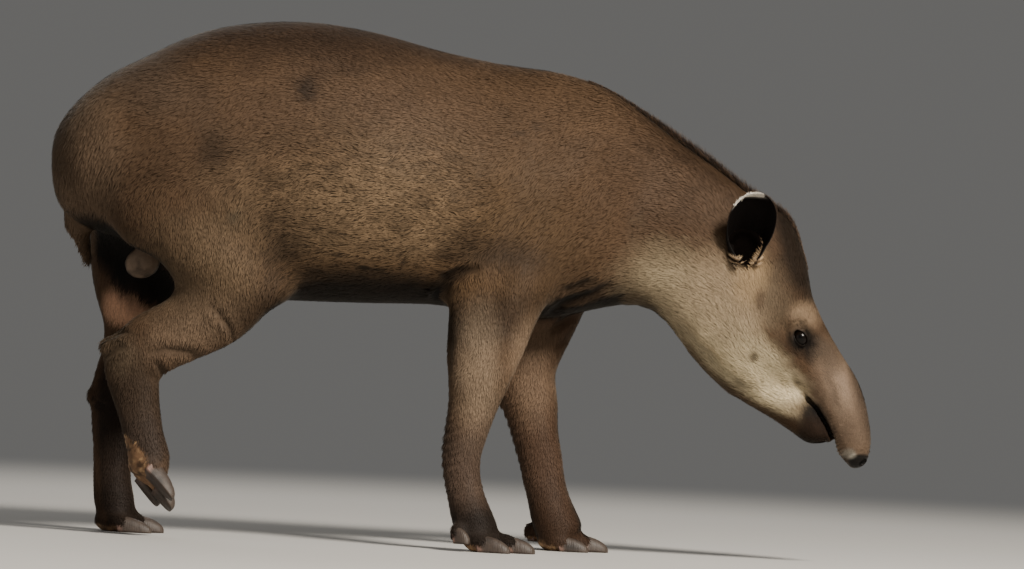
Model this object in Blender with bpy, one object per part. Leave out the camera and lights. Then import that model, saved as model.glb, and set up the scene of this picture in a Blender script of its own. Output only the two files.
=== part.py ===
"""A lowland tapir, an adult male, life size: walking to +X with its head lowered and its right hind foot lifted.

X runs forward, Y to the animal's left and Z up. The floor is Z = 0. Sizes are in millimetres until a mesh is made.
The flesh is modelled whole, from lofts along the body, the jaw and each leg, and is then parted with thin cuts.
"""

import math
import random

import bmesh
import bpy
import numpy as np
from mathutils import Euler, Matrix, Vector

# Driving dimensions, in millimetres
mm = 0.001
gap = 0.3
fleshVoxel = 6.5
fleshTriangles = 7400
thinnedTriangles = 5500
easeRounds = 130
eyeRadius = 16.5
maneLength = 29.0
maneWidth = 11.0
maneThickness = 4.0
maneSpacing = 9.0
maneSink = 12.0
maneRows = (0.0, 7.0, -3.5, 3.5, -7.0)

# Each section of the trunk: its top point and its low point in the plane of symmetry, half its width,
# how far up it is widest, and how square its upper half is (2 is an ellipse, less is a ridge).
trunk = {
    "rump": (-830, 806, -820, 650, 76, 0.50, 2.0),
    "pin bones": (-793, 860, -783, 610, 120, 0.50, 2.0),
    "hips": (-730, 918, -722, 596, 152, 0.49, 2.1),
    "croup": (-666, 953, -656, 578, 176, 0.47, 2.1),
    "sacrum": (-549, 1012, -530, 512, 205, 0.45, 2.1),
    "loin": (-430, 1038, -404, 478, 222, 0.43, 2.1),
    "back": (-310, 1042, -284, 476, 231, 0.41, 2.1),
    "ribs": (-189, 1026, -164, 478, 233, 0.41, 2.1),
    "girth": (-68, 998, -44, 480, 218, 0.43, 2.0),
    "elbows": (54, 978, 77, 468, 190, 0.45, 1.9),
    "withers": (174, 968, 190, 466, 158, 0.47, 1.7),
    "neck root": (262, 945, 258, 482, 136, 0.47, 1.6),
    "low neck": (337, 901, 308, 494, 118, 0.46, 1.6),
    "mid neck": (416, 845, 348, 497, 106, 0.46, 1.6),
    "high neck": (498, 787, 378, 488, 99, 0.46, 1.6),
    "throat": (560, 742, 403, 470, 95, 0.47, 1.7),
    "poll": (613, 714, 432, 438, 93, 0.48, 1.7),
    "crown": (654, 684, 463, 400, 93, 0.50, 1.7),
    "brow": (686, 606, 513, 352, 95, 0.52, 1.8),
    "eyes": (701, 537, 560, 322, 84, 0.53, 2.0),
    "cheeks": (727, 482, 622, 330, 66, 0.52, 2.1),
    "muzzle": (763, 424, 672, 345, 54, 0.50, 2.1),
    "snout root": (796, 376, 706, 322, 47, 0.50, 2.1),
    "snout": (814, 334, 733, 285, 42, 0.50, 2.1),
    "mid snout": (825, 292, 751, 251, 38, 0.50, 2.1),
    "low snout": (831, 251, 767, 222, 35, 0.50, 2.1),
    "snout tip": (827, 217, 785, 199, 29, 0.50, 2.2),
}

# The lower jaw, in the same way, from inside the cheek to the chin.
jaw = {
    "jaw angle": (590, 440, 522, 346, 66, 0.50, 2.2),
    "mid jaw": (645, 390, 574, 313, 52, 0.50, 2.2),
    "jaw front": (690, 348, 630, 284, 41, 0.50, 2.2),
    "chin back": (714, 318, 668, 262, 35, 0.50, 2.2),
    "chin": (736, 288, 702, 241, 31, 0.50, 2.2),
    "lower lip": (748, 262, 734, 242, 24, 0.50, 2.2),
}

# Half the depth and half the width of each leg where it is named, shared by the right and the left leg.
foreSizes = {
    "shoulder": (112, 46),
    "upper arm": (108, 60),
    "elbow": (90, 62),
    "forearm": (69, 53),
    "low forearm": (55, 42),
    "wrist": (47, 39),
    "low wrist": (44, 36),
    "cannon": (42, 35),
    "fetlock": (41, 37),
    "pastern": (44, 40),
    "sole": (45, 42),
}
hindSizes = {
    "hip": (150, 60),
    "thigh": (156, 78),
    "low thigh": (112, 76),
    "knee": (88, 58),
    "shank": (73, 46),
    "low shank": (70, 40),
    "hock": (64, 39),
    "low hock": (54, 36),
    "cannon": (45, 33),
    "fetlock": (43, 35),
    "pastern": (45, 38),
    "sole": (43, 40),
}

# Where each of those stands: x, z and the distance from the plane of symmetry.
foreRight = {
    "girth": 0.95,
    "shoulder": (128, 690, -102),
    "upper arm": (80, 545, -118),
    "elbow": (52, 420, -120),
    "forearm": (40, 341, -120),
    "low forearm": (31, 288, -118),
    "wrist": (17, 221, -116),
    "low wrist": (13, 185, -116),
    "cannon": (16, 150, -116),
    "fetlock": (25, 112, -116),
    "pastern": (38, 72, -116),
    "sole": (54, 36, -116),
}
foreLeft = {
    "girth": 1.07,
    "shoulder": (175, 690, 102),
    "upper arm": (152, 545, 116),
    "elbow": (127, 430, 117),
    "forearm": (126, 353, 116),
    "low forearm": (146, 290, 114),
    "wrist": (158, 233, 112),
    "low wrist": (170, 187, 112),
    "cannon": (179, 147, 112),
    "fetlock": (190, 108, 112),
    "pastern": (202, 72, 112),
    "sole": (219, 36, 112),
}
hindRight = {
    "girth": 1.0,
    "hip": (-600, 762, -100),
    "thigh": (-546, 655, -116),
    "low thigh": (-458, 540, -124),
    "knee": (-490, 462, -122),
    "shank": (-556, 416, -114),
    "low shank": (-612, 384, -106),
    "hock": (-645, 345, -100),
    "low hock": (-643, 303, -98),
    "cannon": (-629, 240, -96),
    "fetlock": (-617, 190, -95),
    "pastern": (-608, 158, -94),
    "sole": (-608, 129, -94),
}
hindLeft = {
    "girth": 0.93,
    "hip": (-604, 762, 100),
    "thigh": (-628, 640, 112),
    "low thigh": (-656, 520, 116),
    "knee": (-651, 440, 112),
    "shank": (-656, 380, 106),
    "low shank": (-668, 325, 100),
    "hock": (-684, 276, 96),
    "low hock": (-690, 232, 94),
    "cannon": (-690, 160, 92),
    "fetlock": (-689, 112, 92),
    "pastern": (-684, 70, 92),
    "sole": (-676, 36, 92),
}

# Soft swellings (a positive height) and hollows (a negative one): centre, radii, turn about Y in degrees and
# height. Each is given for the left side and mirrored.
swells = {
    "shoulder blade": ((225, 770, 110), (62, 190, 120), 22, 9),
    "behind the shoulder": ((92, 640, 175), (48, 170, 100), 14, -11),
    "shoulder point": ((268, 590, 110), (84, 96, 90), 0, 12),
    "base of the neck": ((345, 690, 95), (46, 150, 90), 22, -7),
    "triceps": ((90, 540, 160), (90, 80, 70), -20, 8),
    "hip": ((-520, 905, 130), (100, 60, 90), 0, 6),
    "flank hollow": ((-395, 650, 220), (90, 130, 120), 20, -12),
    "thigh": ((-590, 660, 175), (120, 150, 110), 0, 12),
    "ribs": ((-180, 640, 225), (190, 150, 120), 0, 5),
    "rump": ((-745, 760, 110), (80, 90, 100), 0, 8),
    "cheek muscle": ((560, 430, 80), (70, 74, 60), 38, 7),
    "jaw hollow": ((610, 385, 70), (60, 18, 50), 42, -5),
    "cheek bone": ((650, 438, 80), (60, 16, 40), 44, 5),
    "temple": ((640, 560, 80), (46, 60, 50), 22, -6),
    "brow": ((672, 476, 80), (26, 13, 40), 36, 9),
    "eye socket": ((680, 452, 86), (24, 15, 40), 52, -7),
    "before the eye": ((708, 414, 70), (34, 22, 40), 50, -5),
    "snout side": ((770, 330, 40), (22, 60, 40), -20, 3),
}
# Hollows of one side only, in the same way, with the side in the sign of y: the slack behind the lifted thigh.
sideHollows = {
    "behind the right thigh": ((-612, 540, -105), (64, 54, 74), 0, -33),
}
# Balls fused into the flesh: centre, radii and turn about Y in degrees.
knobs = {
    "right hock": ((-690, 371, -98), (38, 26, 27), 32),
    "left hock": ((-717, 272, 96), (35, 26, 30), 0),
    "right flank fold": ((-372, 505, -120), (46, 56, 44), 40),
    "left flank fold": ((-470, 540, 120), (46, 50, 44), 40),
}

# Tail and scrotum: centre line and radii.
tail = {
    "root": (-762, 712, 26),
    "upper": (-780, 664, 29),
    "middle": (-776, 618, 30),
    "lower": (-765, 588, 21),
    "low": (-757, 562, 15),
    "tip": (-750, 541, 10),
}
scrotum = ((-642, 542, 0), (41, 28.5, 36), -24)

# Feet. The frame of a foot has its origin on the sole under the middle of the pad, with +X to the toes.
# Each foot: origin, then pitch, yaw and roll in degrees, then how far its leg is from the plane of symmetry.
feet = {
    "fore_right": ((62, -116, 0), (0, -6, 0)),
    "fore_left": ((210, 112, 0), (0, 6, 0)),
    "hind_right": ((-628, -94, 124), (46, -4, -24)),
    "hind_left": ((-680, 92, 0), (0, 6, 0)),
}
# Each toe: how far ahead and how far outward the hoof starts, its turn outward in degrees, then the hoof's
# length, half its width, its height and how far it hangs above the sole.
foreToes = {
    "middle": (56, 2, 2, 50, 20, 34, 0),
    "outer": (0, 34, 13, 62, 17, 36, 0),
    "inner": (6, -31, -12, 56, 16, 33, 0),
    "little": (-46, 44, 28, 30, 12, 36, 15),
}
hindToes = {
    "middle": (46, 0, 0, 54, 21, 36, 0),
    "outer": (11, 35, 12, 78, 18, 36, 0),
    "inner": (8, -34, -12, 66, 17, 34, 0),
}
padRadii = {"fore": (44, 38, 26), "hind": (46, 38, 27)}
# A hoof from its root to its tip: how far along, and the share left of its full width and height.
hoofShape = (
    (0.0, 1.0, 1.0), (0.3, 1.0, 0.94), (0.58, 0.96, 0.8), (0.8, 0.84, 0.6), (0.93, 0.63, 0.42), (1.0, 0.36, 0.24)
)

# Head features, for the right side; the left is its mirror.
eyeCentre = (677, -62, 452)
eyeOpening = (15.5, 10.0)
eyeSlant = 52
earRoot = (558, -80, 598)
earTip = (576, -132, 733)
earWidth = 49
earFacing = (0.3, 1.0, 0.0)
earThickness = 8.0
lidThickness = 2.6
nostril = ((818, -19, 206), (11, 7, 9), 25)
mouthLine = [(690, 338), (716, 312), (738, 279), (753, 248), (764, 208)]
mouthGap = 3.2

# The crest that the mane grows from, from the withers to the crown, in the plane of symmetry: x, z.
maneLine = [(236, 948), (300, 919), (370, 878), (440, 827), (508, 779), (566, 738), (616, 709), (648, 680)]
maneParting = 0.70

# Where the flesh is parted. The head and the neck: two points of each cut in the plane of symmetry. A leg: the
# middle, half width and height of the arch over its root, its rear and front limits at the floor, and its side.
cuts = {"head": ((543, 790), (331, 155)), "neck": ((284, 1010), (264, 420))}
legCuts = {
    "foreleg_right": ((72, 478), (112, 116), (-90, 210), -1),
    "foreleg_left": ((148, 470), (106, 112), (80, 360), 1),
    "hindleg_right": ((-548, 520), (196, 176), (-790, -380), -1),
    "hindleg_left": ((-596, 500), (168, 160), (-810, -480), 1),
}
legInner = 30

colours = {
    "coat": ("#5b4636", 0.85),
    "ear": ("#2a2320", 0.8),
    "eye": ("#0b0908", 0.15),
    "hoof": ("#6b5c4c", 0.5),
    "skin": ("#4f4038", 0.6),
}


def clearScene():
    for old in list(bpy.data.objects):
        bpy.data.objects.remove(old)


def finish(name):
    """The Principled material of that name, made once."""
    made = bpy.data.materials.get(name)
    if made:
        return made
    hexColour, roughness = colours[name]
    made = bpy.data.materials.new(name)
    made.use_nodes = True
    shader = made.node_tree.nodes["Principled BSDF"]
    channels = [int(hexColour[i : i + 2], 16) / 255 for i in (1, 3, 5)]
    shader.inputs["Base Color"].default_value = [c**2.2 for c in channels] + [1]
    shader.inputs["Roughness"].default_value = roughness
    return made


def objectFrom(name, points, faces, material="coat"):
    """A mesh object of points given in millimetres."""
    mesh = bpy.data.meshes.new(name)
    mesh.from_pydata([Vector(p) * mm for p in points], [], faces)
    mesh.materials.append(finish(material))
    made = bpy.data.objects.new(name, mesh)
    bpy.context.scene.collection.objects.link(made)
    work = bmesh.new()
    work.from_mesh(mesh)
    bmesh.ops.recalc_face_normals(work, faces=work.faces)
    bmesh.ops.triangulate(work, faces=work.faces, quad_method="FIXED", ngon_method="EAR_CLIP")
    work.to_mesh(mesh)
    work.free()
    return made


def smoothRows(rows, steps):
    """Rows of numbers with more rows eased in between them, on a curve through them all."""
    rows = np.array(rows, float)
    ends = np.vstack([2 * rows[0] - rows[1], rows, 2 * rows[-1] - rows[-2]])
    out = []
    for a, b, c, d in zip(ends, ends[1:], ends[2:], ends[3:]):
        for t in np.arange(steps) / steps:
            out.append(
                0.5 * (2 * b + (c - a) * t + (2 * a - 5 * b + 4 * c - d) * t**2 + (3 * b - a - 3 * c + d) * t**3)
            )
    return np.array([*out, rows[-1]])


def rounded(angle, squareness):
    """Cosine and sine of an angle, pushed out towards a square."""
    c, s = math.cos(angle), math.sin(angle)
    power = 2 / squareness
    return math.copysign(abs(c) ** power, c), math.copysign(abs(s) ** power, s)


def ring(centre, up, side, above, below, half, crest, sides):
    """A closed section: half an ellipse above its centre and half below."""
    points = []
    for k in range(sides):
        angle = 2 * math.pi * k / sides
        across, height = rounded(angle, crest if angle < math.pi else 2.1)
        points.append(centre + side * (half * across) + up * ((above if height > 0 else below) * height))
    return points


def loft(name, rings, domes=(0.35, 0.35), material="coat"):
    """A tube over the rings, with a dome at each end as deep as that share of the ring's size."""
    rings = [np.array(r, float) for r in rings]
    count = len(rings[0])

    def domed(end, before, share):
        middle = end.mean(0)
        out = middle - before.mean(0)
        out /= np.linalg.norm(out)
        depth = share * np.linalg.norm(end - middle, axis=1).mean()
        angles = [math.radians(a) for a in (30, 55, 75)]
        return [middle + (end - middle) * math.cos(a) + out * depth * math.sin(a) for a in angles], middle + out * depth

    startRings, startPole = domed(rings[0], rings[1], domes[0])
    endRings, endPole = domed(rings[-1], rings[-2], domes[1])
    rings = startRings[::-1] + rings + endRings
    points = np.vstack([*rings, startPole, endPole])
    faces = []
    for i in range(len(rings) - 1):
        for k in range(count):
            n = (k + 1) % count
            faces.append((i * count + k, i * count + n, (i + 1) * count + n, (i + 1) * count + k))
    first, last = len(points) - 2, len(points) - 1
    top = (len(rings) - 1) * count
    for k in range(count):
        n = (k + 1) % count
        faces.append((first, n, k))
        faces.append((last, top + k, top + n))
    return objectFrom(name, points, faces, material)


def profileLoft(name, sections, sides=40, steps=4, domes=(0.35, 0.35)):
    """A loft over sections that are given by their top and low points, as in trunk."""
    rings = []
    side = np.array([0, 1, 0])
    for topX, topZ, lowX, lowZ, half, level, crest in smoothRows(list(sections.values()), steps):
        top, low = np.array([topX, 0, topZ]), np.array([lowX, 0, lowZ])
        height = np.linalg.norm(top - low)
        up = (top - low) / height
        rings.append(ring(low + (top - low) * level, up, side, height * (1 - level), height * level, half, crest, sides))
    return loft(name, rings, domes)


def legLoft(name, sizes, pose, steps=3, sides=24):
    """A loft down a leg, each section square to the leg's own line."""
    rows = [(*pose[key], *(v * pose["girth"] for v in size)) for key, size in sizes.items()]
    rows = smoothRows(rows, steps)
    along = np.gradient(rows[:, :2], axis=0)
    rings = []
    for (x, z, y, depth, half), (dx, dz) in zip(rows, along):
        forward = np.array([-dz, 0, dx]) / math.hypot(dx, dz)
        rings.append(ring(np.array([x, y, z]), forward, np.array([0, 1, 0]), depth, depth, half, 2.1, sides))
    return loft(name, rings)


def ball(name, centre, radii, turn=0.0, rounds=16, material="coat"):
    """An ellipsoid, turned about Y by that many degrees."""
    mesh = bpy.data.meshes.new(name)
    work = bmesh.new()
    bmesh.ops.create_uvsphere(work, u_segments=rounds, v_segments=rounds * 2 // 3, radius=1)
    place = Matrix.Translation(Vector(centre) * mm) @ Matrix.Rotation(math.radians(turn), 4, "Y")
    work.transform(place @ Matrix.Diagonal((*(r * mm for r in radii), 1)))
    work.to_mesh(mesh)
    work.free()
    mesh.materials.append(finish(material))
    made = bpy.data.objects.new(name, mesh)
    bpy.context.scene.collection.objects.link(made)
    return made


def applied(thing):
    """Makes the modifiers of an object its own mesh."""
    bpy.context.view_layer.update()
    graph = bpy.context.evaluated_depsgraph_get()
    mesh = bpy.data.meshes.new_from_object(thing.evaluated_get(graph))
    thing.modifiers.clear()
    thing.data = mesh
    return thing


def copyOf(thing, name):
    made = thing.copy()
    made.data = thing.data.copy()
    made.name = name
    bpy.context.scene.collection.objects.link(made)
    return made


def keepLargest(thing):
    """Drops all but the closed surface that holds the most."""
    work = bmesh.new()
    work.from_mesh(thing.data)
    left = set(work.faces)
    shells = []
    while left:
        stack = [left.pop()]
        shell = list(stack)
        while stack:
            for edge in stack.pop().edges:
                for face in edge.link_faces:
                    if face in left:
                        left.discard(face)
                        stack.append(face)
                        shell.append(face)
        shells.append(shell)

    def size(shell):
        points = [v.co for face in shell for v in face.verts]
        spans = [max(p[i] for p in points) - min(p[i] for p in points) for i in range(3)]
        return spans[0] * spans[1] * spans[2]

    shells.sort(key=size)
    for shell in shells[:-1]:
        bmesh.ops.delete(work, geom=shell, context="FACES")
    work.to_mesh(thing.data)
    work.free()
    return thing


def combine(thing, others, operation, solver="MANIFOLD"):
    """One Boolean of an object with a collection of closed ones, which are then removed."""
    group = bpy.data.collections.new("operands")
    bpy.context.scene.collection.children.link(group)
    for other in others:
        bpy.context.scene.collection.objects.unlink(other)
        group.objects.link(other)
    change = thing.modifiers.new(operation, "BOOLEAN")
    change.operation = operation
    change.solver = solver
    if len(others) == 1:
        change.object = others[0]
    else:
        change.operand_type = "COLLECTION"
        change.collection = group
    applied(thing)
    for other in others:
        bpy.data.objects.remove(other)
    bpy.data.collections.remove(group)
    return keepLargest(thing)


def prism(name, outline, low, high):
    """An outline in the XZ plane, extruded along Y from low to high."""
    count = len(outline)
    points = [(x, low, z) for x, z in outline] + [(x, high, z) for x, z in outline]
    faces = [tuple(range(count)), tuple(range(2 * count - 1, count - 1, -1))]
    faces += [(k, (k + 1) % count, count + (k + 1) % count, count + k) for k in range(count)]
    return objectFrom(name, points, faces)


def blockBeyond(name, top, low, grow):
    """A block whose back face passes through two points, and which reaches forward of them."""
    (tx, tz), (lx, lz) = top, low
    length = math.hypot(tx - lx, tz - lz)
    up = ((tx - lx) / length, (tz - lz) / length)
    ahead = (up[1], -up[0])
    reach = 900
    corners = [(tx, tz), (lx, lz)]
    back = [(x - ahead[0] * grow, z - ahead[1] * grow) for x, z in corners]
    front = [(x + ahead[0] * reach, z + ahead[1] * reach) for x, z in reversed(corners)]
    return prism(name, back + front, -300, 300)


def blockBehind(name, top, low, grow):
    """The same, reaching back from the line instead."""
    (tx, tz), (lx, lz) = top, low
    return blockBeyond(name, low, top, -grow)


def archBlock(name, grow):
    """A block round a leg: an arch over its root and sides down past the floor."""
    (cx, cz), (rx, rz), (rear, front), side = legCuts[name]
    steps = 14
    angles = [math.pi * k / steps for k in range(steps + 1)]
    outline = [(cx + (rx + grow) * math.cos(a), cz + (rz + grow) * math.sin(a)) for a in angles]
    outline += [(rear - grow, 160), (rear - grow, -60), (front + grow, -60), (front + grow, 160)]
    near, far = legInner - grow, 330
    return prism("leg cut", outline, near, far) if side > 0 else prism("leg cut", outline, -far, -near)


def footPlace(name):
    origin, (pitch, yaw, roll) = feet[name]
    turn = Euler((math.radians(roll), math.radians(pitch), math.radians(yaw)), "XYZ")
    return Matrix.Translation(Vector(origin)) @ turn.to_matrix().to_4x4()


def toesOf(name):
    return foreToes if name.startswith("fore") else hindToes


def toePlace(foot, toe):
    """Where a toe's hoof starts, and which way it points, outward being away from the other foot."""
    ahead, aside, turn = toesOf(foot)[toe][:3]
    outward = -1 if foot.endswith("right") else 1
    return (
        footPlace(foot)
        @ Matrix.Translation((ahead, aside * outward, 0))
        @ Matrix.Rotation(math.radians(turn * outward), 4, "Z")
    )


def hoof(foot, toe, grow=0.0):
    """A horn hoof with a flat sole, its wall sloping forward and down to a rounded tip."""
    length, half, height, lift = toesOf(foot)[toe][3:]
    place = toePlace(foot, toe)
    arcs = 9
    rings = []
    for share, broad, tall in hoofShape:
        wide = (half + grow) * broad
        high = (height + 3 * grow) * tall
        along = -grow + (length + 2 * grow) * share
        points = []
        for k in range(arcs):
            across, up = rounded(math.pi * k / (arcs - 1), 2.4)
            lean = 0.3 * high * up * (1 - share)
            points.append(place @ Vector((along - lean, wide * across, lift + high * up - grow)))
        rings.append(points)
    points = [p for r in rings for p in r]
    faces = [tuple(range(arcs)), tuple(range(len(points) - 1, len(points) - arcs - 1, -1))]
    for i in range(len(rings) - 1):
        for k in range(arcs):
            n = (k + 1) % arcs
            faces.append((i * arcs + k, i * arcs + n, (i + 1) * arcs + n, (i + 1) * arcs + k))
    return objectFrom(f"hoof_{foot}_{toe}", points, faces, "hoof")


def footFlesh(name):
    """The pad of a foot and the flesh of its toes, which laps over the root of each hoof."""
    place = footPlace(name)
    pieces = [ball(f"pad {name}", (0, 0, 0), padRadii[name.split("_")[0]])]
    pieces[0].data.transform(inMetres(place @ Matrix.Translation((2, 0, 20))))
    for toe, (_, _, _, length, half, height, lift) in toesOf(name).items():
        rings = []
        for share, tall, wide in ((-0.4, 1.25, 0.95), (-0.2, 1.25, 1.1), (0.02, 1.18, 1.16), (0.3, 0.98, 1.08)):
            high = height * tall / 2
            middle = np.array([length * share, 0, lift + high - 2])
            rings.append(ring(middle, np.array([0, 0, 1]), np.array([0, 1, 0]), high, high, half * wide, 2.1, 16))
        made = loft(f"toe {name} {toe}", rings, (0.3, 0.25))
        made.data.transform(inMetres(toePlace(name, toe)))
        pieces.append(made)
    return pieces


def inMetres(place):
    """The same placement for points that are already in metres."""
    return Matrix.Translation(place.translation * mm) @ place.to_3x3().to_4x4()


def fleshPieces():
    """Every closed form that the flesh is fused from."""
    pieces = [profileLoft("trunk", trunk, domes=(0.14, 0.5)), profileLoft("jaw", jaw, 28, 4, (0.4, 0.3))]
    for sizes, pose in ((foreSizes, foreRight), (foreSizes, foreLeft), (hindSizes, hindRight), (hindSizes, hindLeft)):
        pieces.append(legLoft("leg", sizes, pose))
    for name, ((x, z, y), radii, turn) in knobs.items():
        pieces.append(ball(name, (x, y, z), radii, turn))
    for foot in feet:
        pieces += footFlesh(foot)
    return pieces


def joined(pieces, name):
    """One object of several, not yet fused."""
    work = bmesh.new()
    for piece in pieces:
        piece.data.transform(piece.matrix_world)
        work.from_mesh(piece.data)
        bpy.data.objects.remove(piece)
    mesh = bpy.data.meshes.new(name)
    work.to_mesh(mesh)
    work.free()
    mesh.materials.append(finish("coat"))
    made = bpy.data.objects.new(name, mesh)
    bpy.context.scene.collection.objects.link(made)
    return made


def meshPoints(mesh):
    flat = np.empty(len(mesh.vertices) * 3)
    mesh.vertices.foreach_get("co", flat)
    return flat.reshape(-1, 3)


def meshNormals(mesh):
    flat = np.empty(len(mesh.vertices) * 3)
    mesh.vertices.foreach_get("normal", flat)
    return flat.reshape(-1, 3)


def softness(points):
    """How much the skin is eased at each point: most on the trunk, least on the head and the feet."""
    x, z = points[:, 0] / mm, points[:, 2] / mm
    trunkShare = np.clip((z - 330) / 160, 0, 1) * np.clip((480 - x) / 160, 0, 1)
    return 0.05 + 0.95 * trunkShare


def easedMesh(mesh, rounds):
    """Evens out a mesh, hardly shrinking it in the first rounds, and then as far as softness() allows."""
    points = meshPoints(mesh)
    edges = np.empty(len(mesh.edges) * 2, int)
    mesh.edges.foreach_get("vertices", edges)
    a, b = edges.reshape(-1, 2).T
    count = np.bincount(np.concatenate([a, b]), minlength=len(points))[:, None]
    for turn in range(rounds):
        share = softness(points)[:, None] if turn >= 6 else 1
        for factor in (0.5, -0.5 if turn < 6 else -0.2):
            total = np.stack([
                np.bincount(a, points[b, i], len(points)) + np.bincount(b, points[a, i], len(points))
                for i in range(3)
            ], 1)
            points = points + (total / count - points) * factor * share
    mesh.vertices.foreach_set("co", points.ravel())
    mesh.update()


def swelledMesh(mesh):
    points, normals = meshPoints(mesh), meshNormals(mesh)
    moved = points.copy()
    placed = [(row, side) for row in swells.values() for side in (-1, 1)]
    placed += [(row, 1) for row in sideHollows.values()]
    for ((x, z, y), (rx, rz, ry), turn, height), side in placed:
        c, s = math.cos(math.radians(turn)), math.sin(math.radians(turn))
        off = points / mm - (x, y * side, z)
        ahead, up = off[:, 0] * c - off[:, 2] * s, off[:, 0] * s + off[:, 2] * c
        far = (ahead / rx) ** 2 + (up / rz) ** 2 + (off[:, 1] / ry) ** 2
        moved += normals * (height * mm * np.exp(-far * 1.2))[:, None]
    mesh.vertices.foreach_set("co", moved.ravel())
    mesh.update()


def fusedFlesh():
    """The flesh as one smooth skin, fused by a voxel remesh, eased, modelled and then thinned."""
    body = joined(fleshPieces(), "flesh")
    fuse = body.modifiers.new("fuse", "REMESH")
    fuse.mode = "VOXEL"
    fuse.voxel_size = fleshVoxel * mm
    applied(body)
    keepLargest(body)
    easedMesh(body.data, easeRounds)
    swelledMesh(body.data)
    thinned(body, fleshTriangles)
    plain = body.vertex_groups.new(name="plain")
    trunkShare = softness(meshPoints(body.data))
    plain.add([int(i) for i in np.nonzero(trunkShare > 0.8)[0]], 1.0, "REPLACE")
    thinned(body, thinnedTriangles, plain.name)
    body.vertex_groups.clear()
    return body


def thinned(thing, triangles, group=""):
    """Collapses edges down to that many triangles, only inside the vertex group if one is named."""
    count = sum(len(p.vertices) - 2 for p in thing.data.polygons)
    thin = thing.modifiers.new("thin", "DECIMATE")
    thin.ratio = triangles / count
    thin.vertex_group = group
    return applied(thing)


def cutFrom(body, cutter, wider, name):
    """Takes the part of the body inside the cutter, and leaves the rest clear of it by the gap."""
    taken = combine(copyOf(body, name), [cutter], "INTERSECT")
    combine(body, [wider], "DIFFERENCE")
    return taken


def floorBlock():
    return prism("under the floor", [(-1200, 0), (1200, 0), (1200, -200), (-1200, -200)], -600, 600)


def ear(side, grow=0.0):
    """A cupped leaf of an ear, open outward and a little forward."""
    root = Vector((earRoot[0], earRoot[1] * -side, earRoot[2]))
    tip = Vector((earTip[0], earTip[1] * -side, earTip[2]))
    up = (tip - root).normalized()
    out = Vector((earFacing[0], earFacing[1] * side, earFacing[2]))
    out = (out - up * out.dot(up)).normalized()
    across = up.cross(out) * side
    length = (tip - root).length
    faces = []
    columns, rows = 10, 8
    shells = []
    for layer in (0, 1):
        grid = []
        for i in range(rows + 1):
            v = i / rows
            spread = math.sin(math.pi / 2 * min(v / 0.6, 1)) if v < 0.6 else math.sqrt(max(1 - ((v - 0.6) / 0.405) ** 2, 0))
            half = earWidth * (0.4 + 0.6 * spread if v < 0.6 else spread)
            bend = math.radians(280 - 205 * math.sin(math.pi / 2 * v))
            line = []
            for k in range(columns + 1):
                u = 2 * k / columns - 1
                radius = half / math.sin(bend / 2) if bend < math.pi else half
                angle = u * (bend / 2 + grow / radius)
                thick = earThickness * (1 - 0.5 * abs(u) ** 3) * (1 - 0.4 * v)
                reach = radius + (thick + grow if layer else -grow)
                deep = reach * math.cos(angle) - radius * max(math.cos(bend / 2), -0.2)
                high = length * v + grow * (2 * v - 1)
                place = root + up * high + across * (reach * math.sin(angle)) - out * deep
                line.append(place)
            grid.append(line)
        shells.append(grid)
    points = [p for grid in shells for line in grid for p in line]
    width, total = columns + 1, (columns + 1) * (rows + 1)
    for i in range(rows):
        for k in range(columns):
            a = i * width + k
            quad = (a, a + 1, a + width + 1, a + width)
            faces.append(quad)
            faces.append(tuple(total + q for q in reversed(quad)))
    rim = [k for k in range(width)]
    rim += [i * width + columns for i in range(1, rows + 1)]
    rim += [rows * width + k for k in range(columns - 1, -1, -1)]
    rim += [i * width for i in range(rows - 1, 0, -1)]
    for a, b in zip(rim, rim[1:] + rim[:1]):
        faces.append((b, a, total + a, total + b))
    name = "ear socket" if grow else "ear_left" if side > 0 else "ear_right"
    return objectFrom(name, points, faces, "ear")


def crestPoint(share):
    """A point on the crest of the neck, from the withers at 0 to the crown at 1, and the crest's direction."""
    line = [np.array(crest, float) for crest in maneLine]
    rows = smoothRows(line, 8)
    lengths = np.concatenate([[0], np.cumsum(np.linalg.norm(np.diff(rows, axis=0), axis=1))])
    at = share * lengths[-1]
    point = np.array([np.interp(at, lengths, rows[:, i]) for i in (0, 1)])
    ahead = np.array([np.interp(at + 5, lengths, rows[:, i]) for i in (0, 1)])
    back = np.array([np.interp(at - 5, lengths, rows[:, i]) for i in (0, 1)])
    along = (ahead - back) / np.linalg.norm(ahead - back)
    return point, along, lengths[-1]


def maneLock(root, along, up, side, length, width, bend):
    """A flat lock of hair, broad along the crest: rooted under the skin, rising, lying back and tapering."""
    root, along, up, side = (np.array(v, float) for v in (root, along, up, side))
    stations = 5
    rings = []
    for k in range(stations):
        t = k / (stations - 1)
        lift = maneSink * -1 + (length * 0.62 + maneSink) * math.sin(t * 1.25)
        lay = -length * 0.85 * t**1.5
        middle = root + up * lift + along * lay + side * (bend * t * t)
        slope = up * (1 - 0.55 * t) - along * (0.3 + 0.9 * t)
        thick = side
        across = np.cross(side, slope / np.linalg.norm(slope))
        half = width * (1 - 0.9 * t**1.6)
        deep = maneThickness * (1 - 0.75 * t)
        rings.append([middle + across * half, middle + thick * deep, middle - across * half, middle - thick * deep])
    points = [p for r in rings for p in r]
    faces = [(3, 2, 1, 0), tuple(range(4 * stations - 4, 4 * stations))]
    for i in range(stations - 1):
        for k in range(4):
            n = (k + 1) % 4
            faces.append((i * 4 + k, i * 4 + n, (i + 1) * 4 + n, (i + 1) * 4 + k))
    return objectFrom("lock", points, faces)


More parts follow.
